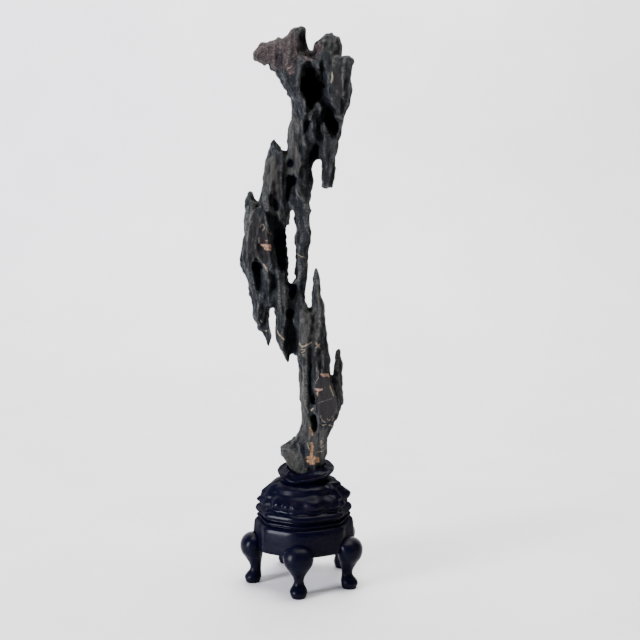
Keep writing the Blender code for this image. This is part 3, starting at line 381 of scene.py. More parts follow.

# Markings: pale calcite veins, pinkish and tan patches, and broad zones painted darker or paler. Each is a
# list of strokes on the show face.
STONE_MARKS = {
    "cream": [
        [(-5.1, 235.6, 0.6), (-3, 231.9, 0.9), (0.5, 232.9, 0.8), (6.8, 236.3, 0.6)],
        [(10.6, 236.1, 0.7), (12.6, 233.4, 1), (14.7, 231.1, 0.6)],
        [(14.3, 234.6, 0.6), (11.2, 231.2, 0.5)],
        [(-4.4, 229, 0.5), (0.5, 229.7, 0.5)],
        [(-3, 226.2, 0.4), (-0.2, 227.9, 0.5)],
        [(-2.3, 224.1, 0.4), (0.5, 224.5, 0.4)],
        [(-1.6, 222.4, 0.3), (-0.2, 222.5, 0.3)],
        [(-7, 321.1, 0.4), (-3.5, 318.4, 0.6), (0.3, 317.7, 0.5)],
        [(-26, 247.3, 0.5), (-24.6, 243.8, 0.7), (-19.7, 238.9, 0.9)],
        [(-36.9, 247.3, 1.2)],
        [(-42, 257.6, 0.6), (-40.6, 255.6, 0.4)],
        [(24.3, 194.3, 0.5), (25.6, 190, 0.8), (27.8, 184, 0.5)],
        [(13.4, 209.4, 0.3), (13.2, 201.4, 0.4), (9.6, 196.8, 0.3)],
        [(25.9, 490.4, 0.4), (26.3, 485.7, 0.8), (24.8, 480.4, 0.5)],
        [(16.6, 155.5, 0.5), (21.5, 156, 0.4)],
        [(23.2, 155.8, 0.6), (26.4, 154.6, 0.8)],
        [(11.6, 128.8, 0.4), (14.6, 129, 0.6), (17.4, 130.2, 0.5)],
        [(2.2, 138.4, 0.4), (3, 135, 0.6), (4.4, 131.4, 0.5)],
        [(6.4, 170.4, 1), (8.2, 172.2, 0.6)],
        [(-39.3, 311.5, 0.8), (-37.5, 308.7, 0.9), (-35.4, 304.5, 0.6)],
        [(-15.9, 494.4, 0.4), (-14.1, 493.4, 0.5), (-12.8, 494.6, 0.4)],
    ],
    "pale": [
        [(12.4, 176.6, 0.4), (15.9, 178.4, 0.5), (21.5, 180.1, 0.4), (27.1, 182.3, 0.4)],
        [(-4.7, 445.6, 0.4), (-2.7, 442.2, 0.6)],
        [(-6.1, 426.7, 0.4), (-7.5, 420, 0.6), (-8, 410.5, 0.4)],
        [(-7.6, 382, 0.5), (-6.3, 376.5, 0.7), (-3.5, 373.6, 0.5)],
        [(-5.9, 192.2, 0.4), (-2.8, 192.2, 0.5)],
        [(12.6, 252.2, 0.3), (19.6, 251.6, 0.3)],
        [(7.4, 246, 0.5), (10.6, 245.4, 0.4)],
        [(35.4, 488.4, 0.6), (36.1, 480.4, 0.7), (36.5, 471.1, 0.5)],
        [(-52.4, 350.1, 0.6), (-51, 358.3, 1), (-46.1, 363.8, 0.9), (-41.3, 365.8, 0.7)],
        [(-54.4, 333.6, 0.6), (-52.8, 345.9, 0.8), (-50, 352, 0.6)],
        [(-24.5, 133, 0.5), (-19, 131.6, 0.7), (-13.6, 131, 0.6), (-10.4, 127.6, 0.6), (-7, 121, 0.5)],
        [(-1.8, 212, 0.4), (-1.4, 190, 0.5), (-0.4, 170, 0.4)],
        [(13, 296, 0.4), (13.2, 282, 0.6), (14, 268, 0.4)],
        [(-16, 470, 0.3), (-9, 452, 0.4), (-8, 436, 0.3)],
    ],
    "ring": [
        [(16.2, 137.2, 0.4), (14.4, 138.6, 0.5), (15.9, 140.2, 0.5), (17.6, 138.8, 0.5), (16.2, 137.2, 0.4)],
        [(16.2, 137.2, 0.4), (14.4, 135.2, 0.5), (15.6, 133.6, 0.4), (17.6, 134.8, 0.5), (17.8, 136.2, 0.4)],
        [(15.2, 165.1, 0.5), (16.6, 160.1, 0.5), (20.1, 158.3, 0.5)],
        [(21.5, 162.2, 0.5), (23.2, 159.8, 0.5), (24.6, 161.5, 0.5)],
        [(25.7, 164.4, 0.5), (28.3, 162.2, 0.5), (26.4, 160.1, 0.5)],
        [(-42.1, 345.9, 0.5), (-40.7, 348.7, 0.6), (-38.6, 348.7, 0.5), (-37.7, 345.3, 0.5),
         (-40, 342.9, 0.5)],
        [(-35.9, 345.3, 0.5), (-33.8, 340.4, 0.4)],
        [(-43.4, 336.2, 0.6), (-43, 331, 0.4)],
    ],
    # Broad zones painted darker, to set their tone.
    "darker_zone": [
        [(20, 516, 8), (30, 514, 9), (34, 500, 9), (35, 480, 8), (34, 462, 7), (24, 430, 9), (22, 400, 8)],
        [(-50, 340, 7), (-46, 322, 9)],
        [(20, 197, 8), (21, 180, 9), (21, 167, 6)],
    ],
    # Broad zones painted paler, to set their tone.
    "paler_zone": [
        [(-12, 440, 9), (-8, 424, 8), (-12, 400, 7)],
        [(-32, 404, 8), (-34, 388, 8)],
        [(6, 262, 9), (4, 246, 9), (0, 226, 4)],
        [(-2.5, 205, 3), (-2.5, 180, 4), (0, 160, 5), (4, 146, 8), (16, 144, 8), (18, 124, 8)],
        [(-14, 122, 8), (-6, 112, 6)],
    ],
    "tan": [
        [(5.3, 152.9, 0.9), (7, 149.3, 1.1), (7.1, 144.8, 0.7)],
        [(6.4, 138, 1.2), (7.1, 134.4, 1.6), (6.6, 129.4, 1.4), (6.4, 125.4, 1.7)],
        [(2.4, 123.8, 1.1), (6.6, 123.6, 1.6), (12.8, 122.8, 1.3)],
        [(2.8, 120.2, 1.5), (7.4, 119.8, 1.7), (12.8, 120, 1.5)],
        [(5, 117.4, 0.8), (9.6, 117.2, 1)],
    ],
    "salmon": [
        [(-40.8, 329.4, 1), (-37.4, 328.6, 1.7), (-33, 328.4, 1.7), (-30.8, 327.8, 1)],
        [(-38, 325.6, 0.7), (-35, 325, 0.8), (-31.4, 324.8, 0.9)],
        [(-33.6, 345, 0.5)],
        [(-32.2, 341.2, 0.5), (-31.6, 339, 0.4)],
        [(-35.6, 339.6, 0.4)],
        [(-37.6, 334, 0.5), (-35, 333.4, 0.4)],
        [(-33.4, 332.8, 0.5)],
        [(-39, 311.5, 0.8), (-37, 307.5, 1)],
        [(10.4, 190.8, 0.9), (13, 190, 1.3), (16.6, 190.4, 0.9)],
        [(12, 187.6, 0.9), (12.4, 185, 0.7)],
        [(15.8, 205.4, 0.9), (18.6, 204.4, 1.7), (22.4, 205, 1.2), (23.4, 203, 0.8)],
    ],
    "pink": [
        [(-60, 505, 7), (-52, 510, 9), (-42, 513, 11), (-30, 516, 13), (-18, 520, 12)],
        [(-30, 504, 10), (-18, 505, 9), (-8, 512, 7)],
        [(4, 504, 5), (11, 511, 5), (15, 514, 3.4)],
        [(-14, 500, 5), (-12, 492, 4)],
    ],
    "plum": [
        [(-45.6, 352, 4), (-44, 342, 8), (-42, 330, 9), (-41, 320, 7)],
        [(-26.6, 401, 4), (-25.6, 388, 5), (-26.6, 374, 4)],
        [(20, 197, 8), (21, 180, 8.6), (21, 166, 6.4)],
        [(5.6, 226, 4.4), (5.6, 218, 4)],
        [(15.6, 226, 4), (15.8, 218, 4)],
        [(32, 488, 3.4), (32.5, 462, 3.4)],
    ],
    "green": [
        [(-53, 372, 4), (-53, 352, 4)],
        [(-32, 408, 5), (-36, 390, 5), (-40, 372, 4)],
        [(-1.6, 214, 3), (-2.4, 190, 3.6), (-0.4, 164, 3.4)],
        [(34, 226, 4), (35, 196, 4.4)],
        [(-16, 132, 5), (-9, 122, 8), (-8, 112, 7)],
        [(-24, 290, 5), (-20, 262, 5)],
        [(31, 500, 9), (30, 516, 9)],
    ],
}
face = show_face(place)
for name, strokes in STONE_MARKS.items():
    mark = np.zeros(len(place))
    for stroke in strokes:
        mark = np.maximum(mark, np.clip(2 - from_stroke(face, stroke), 0, 1.6))
    paint(skin, name, mark * front)

low = np.array(cad_box[0]) * 1000 - AXIS
high = np.array(cad_box[1]) * 1000 - AXIS
place = np.clip(place, low + BOX_MARGIN, high - BOX_MARGIN)
set_points(skin, place)
skin.shade_smooth()


def colour(code):
    """An sRGB hex code as linear RGBA."""
    channels = [int(code[i:i + 2], 16) / 255 for i in (1, 3, 5)]
    linear = [c / 12.92 if c <= 0.04045 else ((c + 0.055) / 1.055) ** 2.4 for c in channels]
    return (*linear, 1.0)


def add_node(tree, kind, inputs=None, output=0, stops=(), **settings):
    """Adds a node with its settings and colour stops, links or sets its inputs, and gives one output."""
    node = tree.nodes.new("ShaderNode" + kind)
    for name, value in settings.items():
        setattr(node, name, value)
    for name, value in (inputs or {}).items():
        if isinstance(value, bpy.types.NodeSocket):
            tree.links.new(value, node.inputs[name])
        else:
            node.inputs[name].default_value = value
    if stops:
        points = node.color_ramp.elements
        while len(points) < len(stops):
            points.new(0.5)
        for point, (position, code) in zip(points, stops):
            point.position = position
            point.color = colour(code)
    return node.outputs[output]


def new_material(name):
    """A material with an empty tree and a Principled shader on its output."""
    material = bpy.data.materials.new(name)
    material.use_nodes = True
    tree = material.node_tree
    tree.nodes.clear()
    shader = tree.nodes.new("ShaderNodeBsdfPrincipled")
    output = tree.nodes.new("ShaderNodeOutputMaterial")
    tree.links.new(shader.outputs["BSDF"], output.inputs["Surface"])
    return material, tree, shader


# Weathered limestone: greys that run in streaks down the stone, painted shade near black in the hollows
# and where it is sunk, paler on the crests, and calcite in the veins. Its surface is matt, and its hollows
# show hardly any shine.
limestone, tree, shader = new_material("limestone")
coordinates = add_node(tree, "TexCoord", output="Object")
streaked = add_node(tree, "Mapping", {"Vector": coordinates, "Scale": (1, 1, 0.16)})
here = {name: add_node(tree, "Attribute", output="Fac", attribute_name=name)
        for name in ("proud", "hollow", "crest", "plate", *STONE_MARKS)}

# Features a metre: clouds are 20 mm across, streaks 3.1 mm, fine mottling 1.8 mm and grain 0.7 mm. The real
# grain is finer still, and is drawn as coarse as it needs to show.
clouds, streaks, grain, fine = [
    add_node(tree, "TexNoise", {"Vector": vector, "Scale": scale, "Detail": detail, "Roughness": roughness})
    for vector, scale, detail, roughness in ((coordinates, 50, 4, 0.6), (streaked, 320, 5, 0.68),
                                             (coordinates, 1400, 3, 0.7), (coordinates, 560, 6, 0.79))]
ragged = add_node(tree, "Math", {0: fine, 1: 0.5}, operation="SUBTRACT")
ragged = add_node(tree, "Math", {0: ragged, 1: 2.0}, operation="MULTIPLY")
crumbled = add_node(tree, "Math", {0: grain, 1: 0.5}, operation="SUBTRACT")
crumbled = add_node(tree, "Math", {0: crumbled, 1: 2.0}, operation="MULTIPLY")

# The body: two runs of grey, mixed in clouds.
half_streaks = add_node(tree, "Math", {0: streaks, 1: 0.5}, operation="MULTIPLY")
half_fine = add_node(tree, "Math", {0: fine, 1: 0.5}, operation="MULTIPLY")
mottled = add_node(tree, "Math", {0: half_streaks, 1: half_fine}, operation="ADD")
plain_greys = add_node(tree, "ValToRGB", {"Fac": mottled}, stops=[
    (0.42, "#01040a"), (0.465, "#090d13"), (0.5, "#13171b"), (0.545, "#2c2f32"), (0.61, "#5a5b58")])
blue_greys = add_node(tree, "ValToRGB", {"Fac": mottled}, stops=[
    (0.42, "#01050b"), (0.47, "#0a1016"), (0.54, "#252b30"), (0.61, "#575a58")])
# The Mix node's colour sockets share their names with others, so they go by number.
SHARE, UNDER, OVER = 0, 6, 7
MIXING = {"output": 2, "data_type": "RGBA"}
SMOOTH = {"interpolation_type": "SMOOTHSTEP"}
share = add_node(tree, "MapRange", {"Value": clouds, "From Min": 0.42, "From Max": 0.62, "To Min": 0.0,
                                    "To Max": 0.55}, **SMOOTH)
body_colour = add_node(tree, "Mix", {SHARE: share, UNDER: plain_greys, OVER: blue_greys}, **MIXING)

# Broad stains, and broad zones painted darker or paler, each with its colour and its strength.
for name, code, strength in (("green", "#232822", 0.4), ("plum", "#1a1212", 0.72), ("pink", "#40312f", 0.5),
                             ("plate", "#1a0e18", 0.95), ("darker_zone", "#100f0e", 0.5),
                             ("paler_zone", "#4d4a44", 0.4)):
    torn = add_node(tree, "Math", {0: ragged, 1: 1.6}, operation="MULTIPLY")
    wide = add_node(tree, "Math", {0: here[name], 1: torn}, operation="ADD")
    share = add_node(tree, "MapRange", {"Value": wide, "From Min": 0.5, "From Max": 1.3, "To Min": 0.0,
                                        "To Max": strength}, **SMOOTH)
    body_colour = add_node(tree, "Mix", {SHARE: share, UNDER: body_colour, OVER: colour(code)}, **MIXING)

# Pale specks of grain all over, and pinkish blotches where the stone is pink.
specks = add_node(tree, "MapRange", {"Value": grain, "From Min": 0.52, "From Max": 0.7, "To Min": 0.0,
                                     "To Max": 0.35}, **SMOOTH)
body_colour = add_node(tree, "Mix", {SHARE: specks, UNDER: body_colour, OVER: colour("#494b4a")}, **MIXING)
blotch = add_node(tree, "MapRange", {"Value": fine, "From Min": 0.52, "From Max": 0.62}, **SMOOTH)
on_pink = add_node(tree, "MapRange", {"Value": here["pink"], "From Min": 0.5, "From Max": 1.2}, **SMOOTH)
blotch = add_node(tree, "Math", {0: blotch, 1: on_pink}, operation="MULTIPLY")
blotch = add_node(tree, "Math", {0: blotch, 1: 0.45}, operation="MULTIPLY")
body_colour = add_node(tree, "Mix", {SHARE: blotch, UNDER: body_colour, OVER: colour("#8d7671")}, **MIXING)

# Paler where the surface is proud, and painted shade where it is sunk.
paler_on_proud = add_node(tree, "Math", {0: here["proud"], 1: here["crest"]}, operation="ADD")
paler_on_proud = add_node(tree, "MapRange", {"Value": paler_on_proud, "From Min": 0.16, "From Max": 0.95}, **SMOOTH)
patchy = add_node(tree, "MapRange", {"Value": fine, "From Min": 0.42, "From Max": 0.58, "To Min": 0.05,
                                     "To Max": 0.7}, **SMOOTH)
paler_on_proud = add_node(tree, "Math", {0: paler_on_proud, 1: patchy}, operation="MULTIPLY")
body_colour = add_node(tree, "Mix", {SHARE: paler_on_proud, UNDER: body_colour, OVER: colour("#5c5c59")}, **MIXING)
# Painted shade in the sunk places, darkened towards near black.
sunk_shade = add_node(tree, "Math", {0: here["proud"], 1: -1.0}, operation="MULTIPLY")
sunk_shade = add_node(tree, "MapRange", {"Value": sunk_shade, "From Min": 0.06, "From Max": 0.6, "To Min": 0.0,
                                   "To Max": 0.85}, **SMOOTH)
body_colour = add_node(tree, "Mix", {SHARE: sunk_shade, UNDER: body_colour, OVER: colour("#02060e")}, **MIXING)

# Veins and patches, each with its colour, a second colour in its grain, and where its edge lies.
for name, code, other, edge in (("pale", "#5f5c56", "#3d3b37", 1.0), ("tan", "#a98460", "#5a4230", 0.95),
                                ("salmon", "#b08a72", "#6f5446", 0.95), ("ring", "#827a6e", "#5f574e", 1.0),
                                ("cream", "#9c8f76", "#6b6151", 1.0)):
    torn = add_node(tree, "Math", {0: ragged, 1: crumbled}, operation="ADD")
    wide = add_node(tree, "Math", {0: here[name], 1: torn}, operation="ADD")
    grained = add_node(tree, "MapRange", {"Value": fine, "From Min": 0.47, "From Max": 0.57}, **SMOOTH)
    patch = add_node(tree, "Mix", {SHARE: grained, UNDER: colour(code), OVER: colour(other)}, **MIXING)
    share = add_node(tree, "MapRange", {"Value": wide, "From Min": edge - 0.1, "From Max": edge + 0.14,
                                        "To Min": 0.0, "To Max": 0.9}, **SMOOTH)
    body_colour = add_node(tree, "Mix", {SHARE: share, UNDER: body_colour, OVER: patch}, **MIXING)

# The hollows: painted shade at their rims, and painted shade nearly black inside.
torn = add_node(tree, "Math", {0: ragged, 1: 0.3}, operation="MULTIPLY")
inside = add_node(tree, "Math", {0: here["hollow"], 1: torn}, operation="ADD")
shaded = add_node(tree, "MapRange", {"Value": inside, "From Min": 0.12, "From Max": 0.5}, **SMOOTH)
shaded = add_node(tree, "Math", {0: shaded, 1: 0.8}, operation="MULTIPLY")
dark = add_node(tree, "MapRange", {"Value": inside, "From Min": 0.5, "From Max": 0.95}, **SMOOTH)
for share, code in ((shaded, "#080f17"), (dark, "#040512")):
    body_colour = add_node(tree, "Mix", {SHARE: share, UNDER: body_colour, OVER: colour(code)}, **MIXING)
tree.links.new(body_colour, shader.inputs["Base Color"])

# Matt all over, a little smoother on the plate, and with hardly any shine in the hollows.
rough = add_node(tree, "MapRange", {"Value": fine, "From Min": 0.3, "From Max": 0.7, "To Min": 0.4,
                                    "To Max": 0.66}, **SMOOTH)
polish = add_node(tree, "Math", {0: here["plate"], 1: 0.08}, operation="MULTIPLY")
rough = add_node(tree, "Math", {0: rough, 1: polish}, operation="SUBTRACT")
tree.links.new(rough, shader.inputs["Roughness"])
shine = add_node(tree, "MapRange", {"Value": dark, "From Min": 0.0, "From Max": 0.8, "To Min": 0.17,
                                    "To Max": 0.02}, **SMOOTH)
tree.links.new(shine, shader.inputs["Specular IOR Level"])
mottling = add_node(tree, "Math", {0: fine, 1: 0.8}, operation="MULTIPLY")
relief = add_node(tree, "Math", {0: streaks, 1: mottling}, operation="ADD")
grit = add_node(tree, "Math", {0: grain, 1: 0.15}, operation="MULTIPLY")
relief = add_node(tree, "Math", {0: relief, 1: grit}, operation="ADD")
bump = add_node(tree, "Bump", {"Height": relief, "Strength": 1.0, "Distance": 0.0043})
tree.links.new(bump, shader.inputs["Normal"])
skin.materials.clear()
skin.materials.append(limestone)

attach(stone, "root")
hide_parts("rock")


# The stand's body. Apron, beaded band, knobbed dome and flared collar are turned and carved from one block of
# rosewood, stained nearly black and polished. It is skinned as rings round the stand's axis.

STAND_X = -1.0
COLLAR_X = 2.0
STAND_SIDES = 288
STAND_STEP = 0.55
# Height, radius, and how much the eight-cornered plan, the knobs, the rim's wave and the inner swell act
# there, and the front-to-back share.
STAND_PROFILE = [
    (38.5, 30.0), (38.5, 46.6, 1.0), (39.2, 48.6, 1.0), (41.2, 49.3, 1.0), (50.0, 48.9, 1.0),
    (57.5, 48.3, 1.0), (61.2, 47.7, 1.0), (63.4, 46.4, 1.0), (64.4, 44.4, 1.0), (65.2, 43.0, 1.0),
    (66.0, 44.0, 1.0), (66.7, 45.4, 1.0), (68.1, 45.2, 1.0), (68.7, 43.4, 1.0), (69.6, 41.8, 1.0),
    (71.0, 41.8, 1.0), (71.9, 44.2, 1.0), (72.8, 46.5, 1.0), (74.4, 46.7, 1.0), (76.4, 45.9, 1.0),
    (77.6, 44.3, 0.9), (78.6, 42.2, 0.6, 0.2), (80.2, 40.9, 0.4, 0.6), (82.8, 40.4, 0.2, 1.0),
    (86.5, 39.6, 0.1, 1.0), (90.5, 37.6, 0.0, 1.0), (93.8, 34.2, 0.0, 1.0), (96.5, 32.9, 0.0, 1.0),
    (99.0, 31.6, 0.0, 1.0), (101.3, 28.4, 0.0, 1.0), (103.0, 24.8, 0.0, 0.8, 0.1, 0.0, 0.98),
    (104.5, 22.8, 0.0, 0.0, 0.3, 0.0, 0.96), (106.3, 23.4, 0.0, 0.0, 0.6, 0.0, 0.96),
    (109.0, 25.6, 0.0, 0.0, 0.9, 0.0, 0.96), (111.4, 27.4, 0.0, 0.0, 1.0, 0.0, 0.96),
    (112.8, 27.6, 0.0, 0.0, 1.0, 0.0, 0.96), (113.4, 26.6, 0.0, 0.0, 1.0, 0.0, 0.96),
    (113.3, 24.2, 0.0, 0.0, 1.0, 0.1, 0.95), (113.2, 21.5, 0.0, 0.0, 0.93, 0.4, 0.93),
    (113.6, 18.0, 0.0, 0.0, 0.78, 0.8, 0.90), (113.8, 11.0, 0.0, 0.0, 0.5, 0.9, 0.88),
    (112.0, 5.0, 0.0, 0.0, 0.0, 0.0, 0.88),
]
# A row that stops early ends as a plain one does.
PLAIN_ROW = (0.0, 0.0, 0.0, 0.0, 0.0, 0.0, 1.0)
STAND_PROFILE = [(*row, *PLAIN_ROW[len(row):]) for row in STAND_PROFILE]
# The corners of the plan: azimuth, and how softly each is rounded.
STAND_CORNERS = [(-92, 0.1), (-50, 0.1), (-3, 0.5), (50, 0.15), (97, 0.15), (138, 0.15), (180, 0.15),
                 (-136, 0.15)]
# Half the angle that a corner takes, how far the corners stand out, and how far the flats lie behind them.
CORNER_HALF = 22.5
CORNER_RISE = 0.9
FLAT_FALL = 3.0
# Knobs: azimuth, height, radius across, radius up, and how far each stands out.
STAND_KNOBS = [
    (-92, 92, 6, 6, 4.2), (-88, 83, 6, 5, 5.6), (-66, 93, 8, 6, 4.2), (-62, 83.5, 7, 5.4, 4.2),
    (-40, 86, 7, 6.4, 3), (-24, 84.6, 4.8, 5, 1.9), (-12, 84, 4.8, 5, 2.1),
    (16, 87, 9.5, 7.4, 4.2), (45, 85, 9.5, 7.6, 4.4), (1, 100.5, 8, 4.4, 1.1),
    (60, 93, 7, 7, 4.4), (64, 82, 6, 6, 3.8), (86, 91, 8, 8, 7.8), (96, 80, 6, 5, 2.8),
    (78, 103, 7, 7, 7.7), (112, 88, 9, 9, 5.4), (134, 84, 8, 8, 4.8), (152, 91, 8, 8, 5.2),
    (172, 85, 9, 9, 5.4), (194, 90, 8, 8, 5.2), (212, 84, 8, 8, 4.8), (232, 91, 9, 9, 5.4),
    (252, 84, 7, 7, 4.8), (-72, 98, 7, 7, 3.0), (120, 99, 8, 8, 3.6),
    (168, 99, 9, 9, 3.6), (216, 100, 8, 8, 3.4), (51, 92, 3.2, 13, 2.4),
]
# How far past its radii a knob reaches, as the square of the distance, and how sharply it falls off.
KNOB_REACH = 1.6
KNOB_FALL = 1.7
# How far the rim rises, and how far the collar swells up inside it: azimuth and height.
RIM_RISE = [(-180, 3.0), (-135, 1.5), (-90, -1.0), (-55, -3.4), (-26, -6.2), (5, -4.6), (35, -2.6), (70, 0.0),
            (100, 2.0), (135, 4.5), (180, 3.0)]
INNER_SWELL = [(-180, 0.0), (-120, 2.0), (-60, 3.6), (-20, 2.0), (10, 3.4), (45, 9.0), (80, 7.0),
               (120, 2.5), (180, 0.0)]
# The rim's tongue at the left of the front: azimuth, width and how far it stands out.
RIM_TONGUE = (-26, 26, 1.6)
# The socket for the rock's foot, from its mouth down: height, left, right, front and back.
SOCKET_RINGS = [(126, -24, 22.8, -19.4, 18), (120, -21, 21.2, -17.8, 17), (114, -17.2, 19.6, -16, 15.4),
                (109, -14.2, 17.8, -14.2, 13.6), (104.8, -12.6, 16.6, -13, 12.6)]
# Under 1 the socket's plan is squarer than an ellipse.
SOCKET_ROUNDNESS = 0.85
# Which faces have less polish: how much facing up counts, where it starts, and over how much it fades.
DULL_UP, DULL_START, DULL_FADE = 0.25, 0.62, 0.28


def spline(rows, step):
    """The rows of a profile filled in along a smooth curve, about a step apart."""
    rows = np.array(rows, dtype=float)
    filled = []
    for i in range(len(rows) - 1):
        before, start, end, after = rows[[max(i - 1, 0), i, i + 1, min(i + 2, len(rows) - 1)]]
        length = np.linalg.norm(end[:2] - start[:2])
        turn_in = (end - before) / 2
        turn_out = (after - start) / 2
        for turn in (turn_in, turn_out):
            size = np.linalg.norm(turn[:2])
            if size > length:
                turn *= length / size
        count = max(1, round(length / step))
        for t in np.arange(count) / count:
            filled.append((2 * t ** 3 - 3 * t ** 2 + 1) * start + (t ** 3 - 2 * t ** 2 + t) * turn_in
                          + (3 * t ** 2 - 2 * t ** 3) * end + (t ** 3 - t ** 2) * turn_out)
    filled.append(rows[-1])
    return np.array(filled)


def eased(listed, azimuth):
    """Values of a list of azimuths and values, eased between its points."""
    turn = (azimuth + 180) % 360 - 180
    values = np.full(len(azimuth), float(listed[0][1]))
    for (start, low), (end, high) in zip(listed, listed[1:]):
        share = np.clip((turn - start) / (end - start), 0, 1)
        inside = (turn >= start) & (turn <= end)
        values = np.where(inside, low + (high - low) * (1 - np.cos(math.pi * share)) / 2, values)
    return values


def stand_ring(row, azimuth, grow=0.0):
    """One ring of the stand's body."""
    height, radius, plan, knobs, wave, swell, oval = row
    fall = np.full(len(azimuth), 9.0)
    for corner, softness in STAND_CORNERS:
        turned = np.abs((azimuth - corner + 180) % 360 - 180) / CORNER_HALF
        share = np.clip(np.sqrt(turned ** 2 + softness ** 2) - softness * 0.4, 0, 1)
        fall = np.minimum(fall, np.sin(share * math.pi / 2))
    reach = radius + plan * (CORNER_RISE - FLAT_FALL * fall) + grow
    if knobs > 0:
        out = np.zeros(len(azimuth))
        for knob_azimuth, knob_height, across, up, most in STAND_KNOBS:
            side = np.radians((azimuth - knob_azimuth + 180) % 360 - 180) * radius
            far = (side / across) ** 2 + ((height - knob_height) / up) ** 2
            out = np.hypot(out, most * np.clip(1 - far / KNOB_REACH, 0, 1) ** KNOB_FALL)
        reach = reach + knobs * out
    turned = (azimuth - RIM_TONGUE[0] + 180) % 360 - 180
    reach = reach + wave * RIM_TONGUE[2] * np.exp(-(turned / RIM_TONGUE[1]) ** 2)
    level = height + wave * eased(RIM_RISE, azimuth) + swell * eased(INNER_SWELL, azimuth)
    angle = np.radians(azimuth)
    sideways = STAND_X + np.sin(angle) * reach + wave * COLLAR_X
    return np.stack([sideways, -np.cos(angle) * reach * oval, level], axis=1)


def skinned(name, rings, relax=0):
    """An object skinned over closed rings that have the same number of points, and closed at both ends."""
    bm = bmesh.new()
    loops = [[bm.verts.new((point + AXIS) / 1000) for point in ring] for ring in rings]
    for lower, upper in zip(loops, loops[1:]):
        for i in range(len(lower)):
            j = (i + 1) % len(lower)
            bm.faces.new((lower[i], lower[j], upper[j], upper[i]))
    bm.faces.new(list(reversed(loops[0])))
    bm.faces.new(loops[-1])
    for _ in range(relax):
        bmesh.ops.smooth_vert(bm, verts=bm.verts, factor=0.5, use_axis_x=True, use_axis_y=True,
                              use_axis_z=True)
    bmesh.ops.recalc_face_normals(bm, faces=bm.faces)
    mesh = bpy.data.meshes.new(name)
    bm.to_mesh(mesh)
    bm.free()
    mesh.shade_smooth()
    thing = bpy.data.objects.new(name, mesh)
    scene.collection.objects.link(thing)
    return thing


def less(name, thing, cutter):
    """A new object: the thing with the cutter taken out of it. Both are used up."""
    cut = thing.modifiers.new("Cut", "BOOLEAN")
    cut.operation = "DIFFERENCE"
    cut.solver = "EXACT"
    cut.object = cutter
    mesh = bpy.data.meshes.new_from_object(thing.evaluated_get(bpy.context.evaluated_depsgraph_get()))
    mesh.materials.clear()
    mesh.shade_smooth()
    result = bpy.data.objects.new(name, mesh)
    scene.collection.objects.link(result)
    for used in (thing, cutter):
        bpy.data.objects.remove(used)
    return result


azimuth = np.arange(STAND_SIDES) * 360 / STAND_SIDES
rings = [stand_ring(row, azimuth) for row in spline(STAND_PROFILE, STAND_STEP)]
block = skinned("block", rings, relax=1)
angle = np.radians(azimuth[::3])
across = np.copysign(np.abs(np.sin(angle)) ** SOCKET_ROUNDNESS, np.sin(angle))
along = -np.copysign(np.abs(np.cos(angle)) ** SOCKET_ROUNDNESS, np.cos(angle))
rings = [np.stack([(left + right + across * (right - left)) / 2, (front + back + along * (back - front)) / 2,
                   np.full(len(angle), height)], axis=1)
         for height, left, right, front, back in reversed(SOCKET_RINGS)]
socket = skinned("socket", rings)
stand = less("stand_block", block, socket)
# The polish is lower on every face that turns away from the stand's front, and full only on the front. It
# goes by a fixed direction of the object, so its sides and back are duller than its front from any place.
facing_out = normals_of(stand.data)
turned_away = facing_out[:, 1] - DULL_UP * facing_out[:, 2]
paint(stand.data, "dulled", np.clip((turned_away + DULL_START) / DULL_FADE, 0, 1))

# Ebonised rosewood under a hand-rubbed polish: nearly black with a blue and purple cast, and a fine grain
# from side to side that only shows where it catches the light.
rosewood, tree, shader = new_material("ebonised_rosewood")
coordinates = add_node(tree, "TexCoord", output="Object")
grained = add_node(tree, "Mapping", {"Vector": coordinates, "Scale": (0.12, 0.5, 1)})
# Features a metre: fibres are 1.1 mm thick, the figure 7.7 mm, handled places 26 mm and tool marks 10.5 mm.
# The real fibres are finer, and are drawn as coarse as they need to show.
fibres, figure, handled, tool_marks = [
    add_node(tree, "TexNoise", {"Vector": vector, "Scale": scale, "Detail": detail, "Roughness": roughness,
                                "Distortion": distortion})
    for vector, scale, detail, roughness, distortion in (
        (grained, 900, 4, 0.6, 0.4), (grained, 130, 3, 0.55, 0.0), (coordinates, 38, 2, 0.55, 0.0),
        (coordinates, 95, 2, 0.55, 0.0))]
fibre_colour = add_node(tree, "ValToRGB", {"Fac": fibres}, stops=[
    (0.3, "#01020a"), (0.55, "#040513"), (0.75, "#0e0b1a")])
share = add_node(tree, "MapRange", {"Value": figure, "From Min": 0.45, "From Max": 0.75, "To Min": 0.0,
                                    "To Max": 0.4}, **SMOOTH)
wood_colour = add_node(tree, "Mix", {SHARE: share, UNDER: fibre_colour, OVER: colour("#150c14")}, **MIXING)
tree.links.new(wood_colour, shader.inputs["Base Color"])
rough = add_node(tree, "MapRange", {"Value": handled, "From Min": 0.35, "From Max": 0.65, "To Min": 0.17,
                                    "To Max": 0.36}, **SMOOTH)
tree.links.new(rough, shader.inputs["Roughness"])
dulled = add_node(tree, "Attribute", output="Fac", attribute_name="dulled")
shine = add_node(tree, "MapRange", {"Value": dulled, "From Min": 0.0, "From Max": 1.0, "To Min": 0.045,
                                    "To Max": 0.001}, **SMOOTH)
tree.links.new(shine, shader.inputs["Specular IOR Level"])
carving = add_node(tree, "Math", {0: tool_marks, 1: 2.0}, operation="MULTIPLY")
wood_relief = add_node(tree, "Math", {0: fibres, 1: carving}, operation="ADD")
bump = add_node(tree, "Bump", {"Height": wood_relief, "Strength": 0.16, "Distance": 0.0003})
tree.links.new(bump, shader.inputs["Normal"])
stand.data.materials.append(rosewood)

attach(stand, "root")
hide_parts("stand_body")


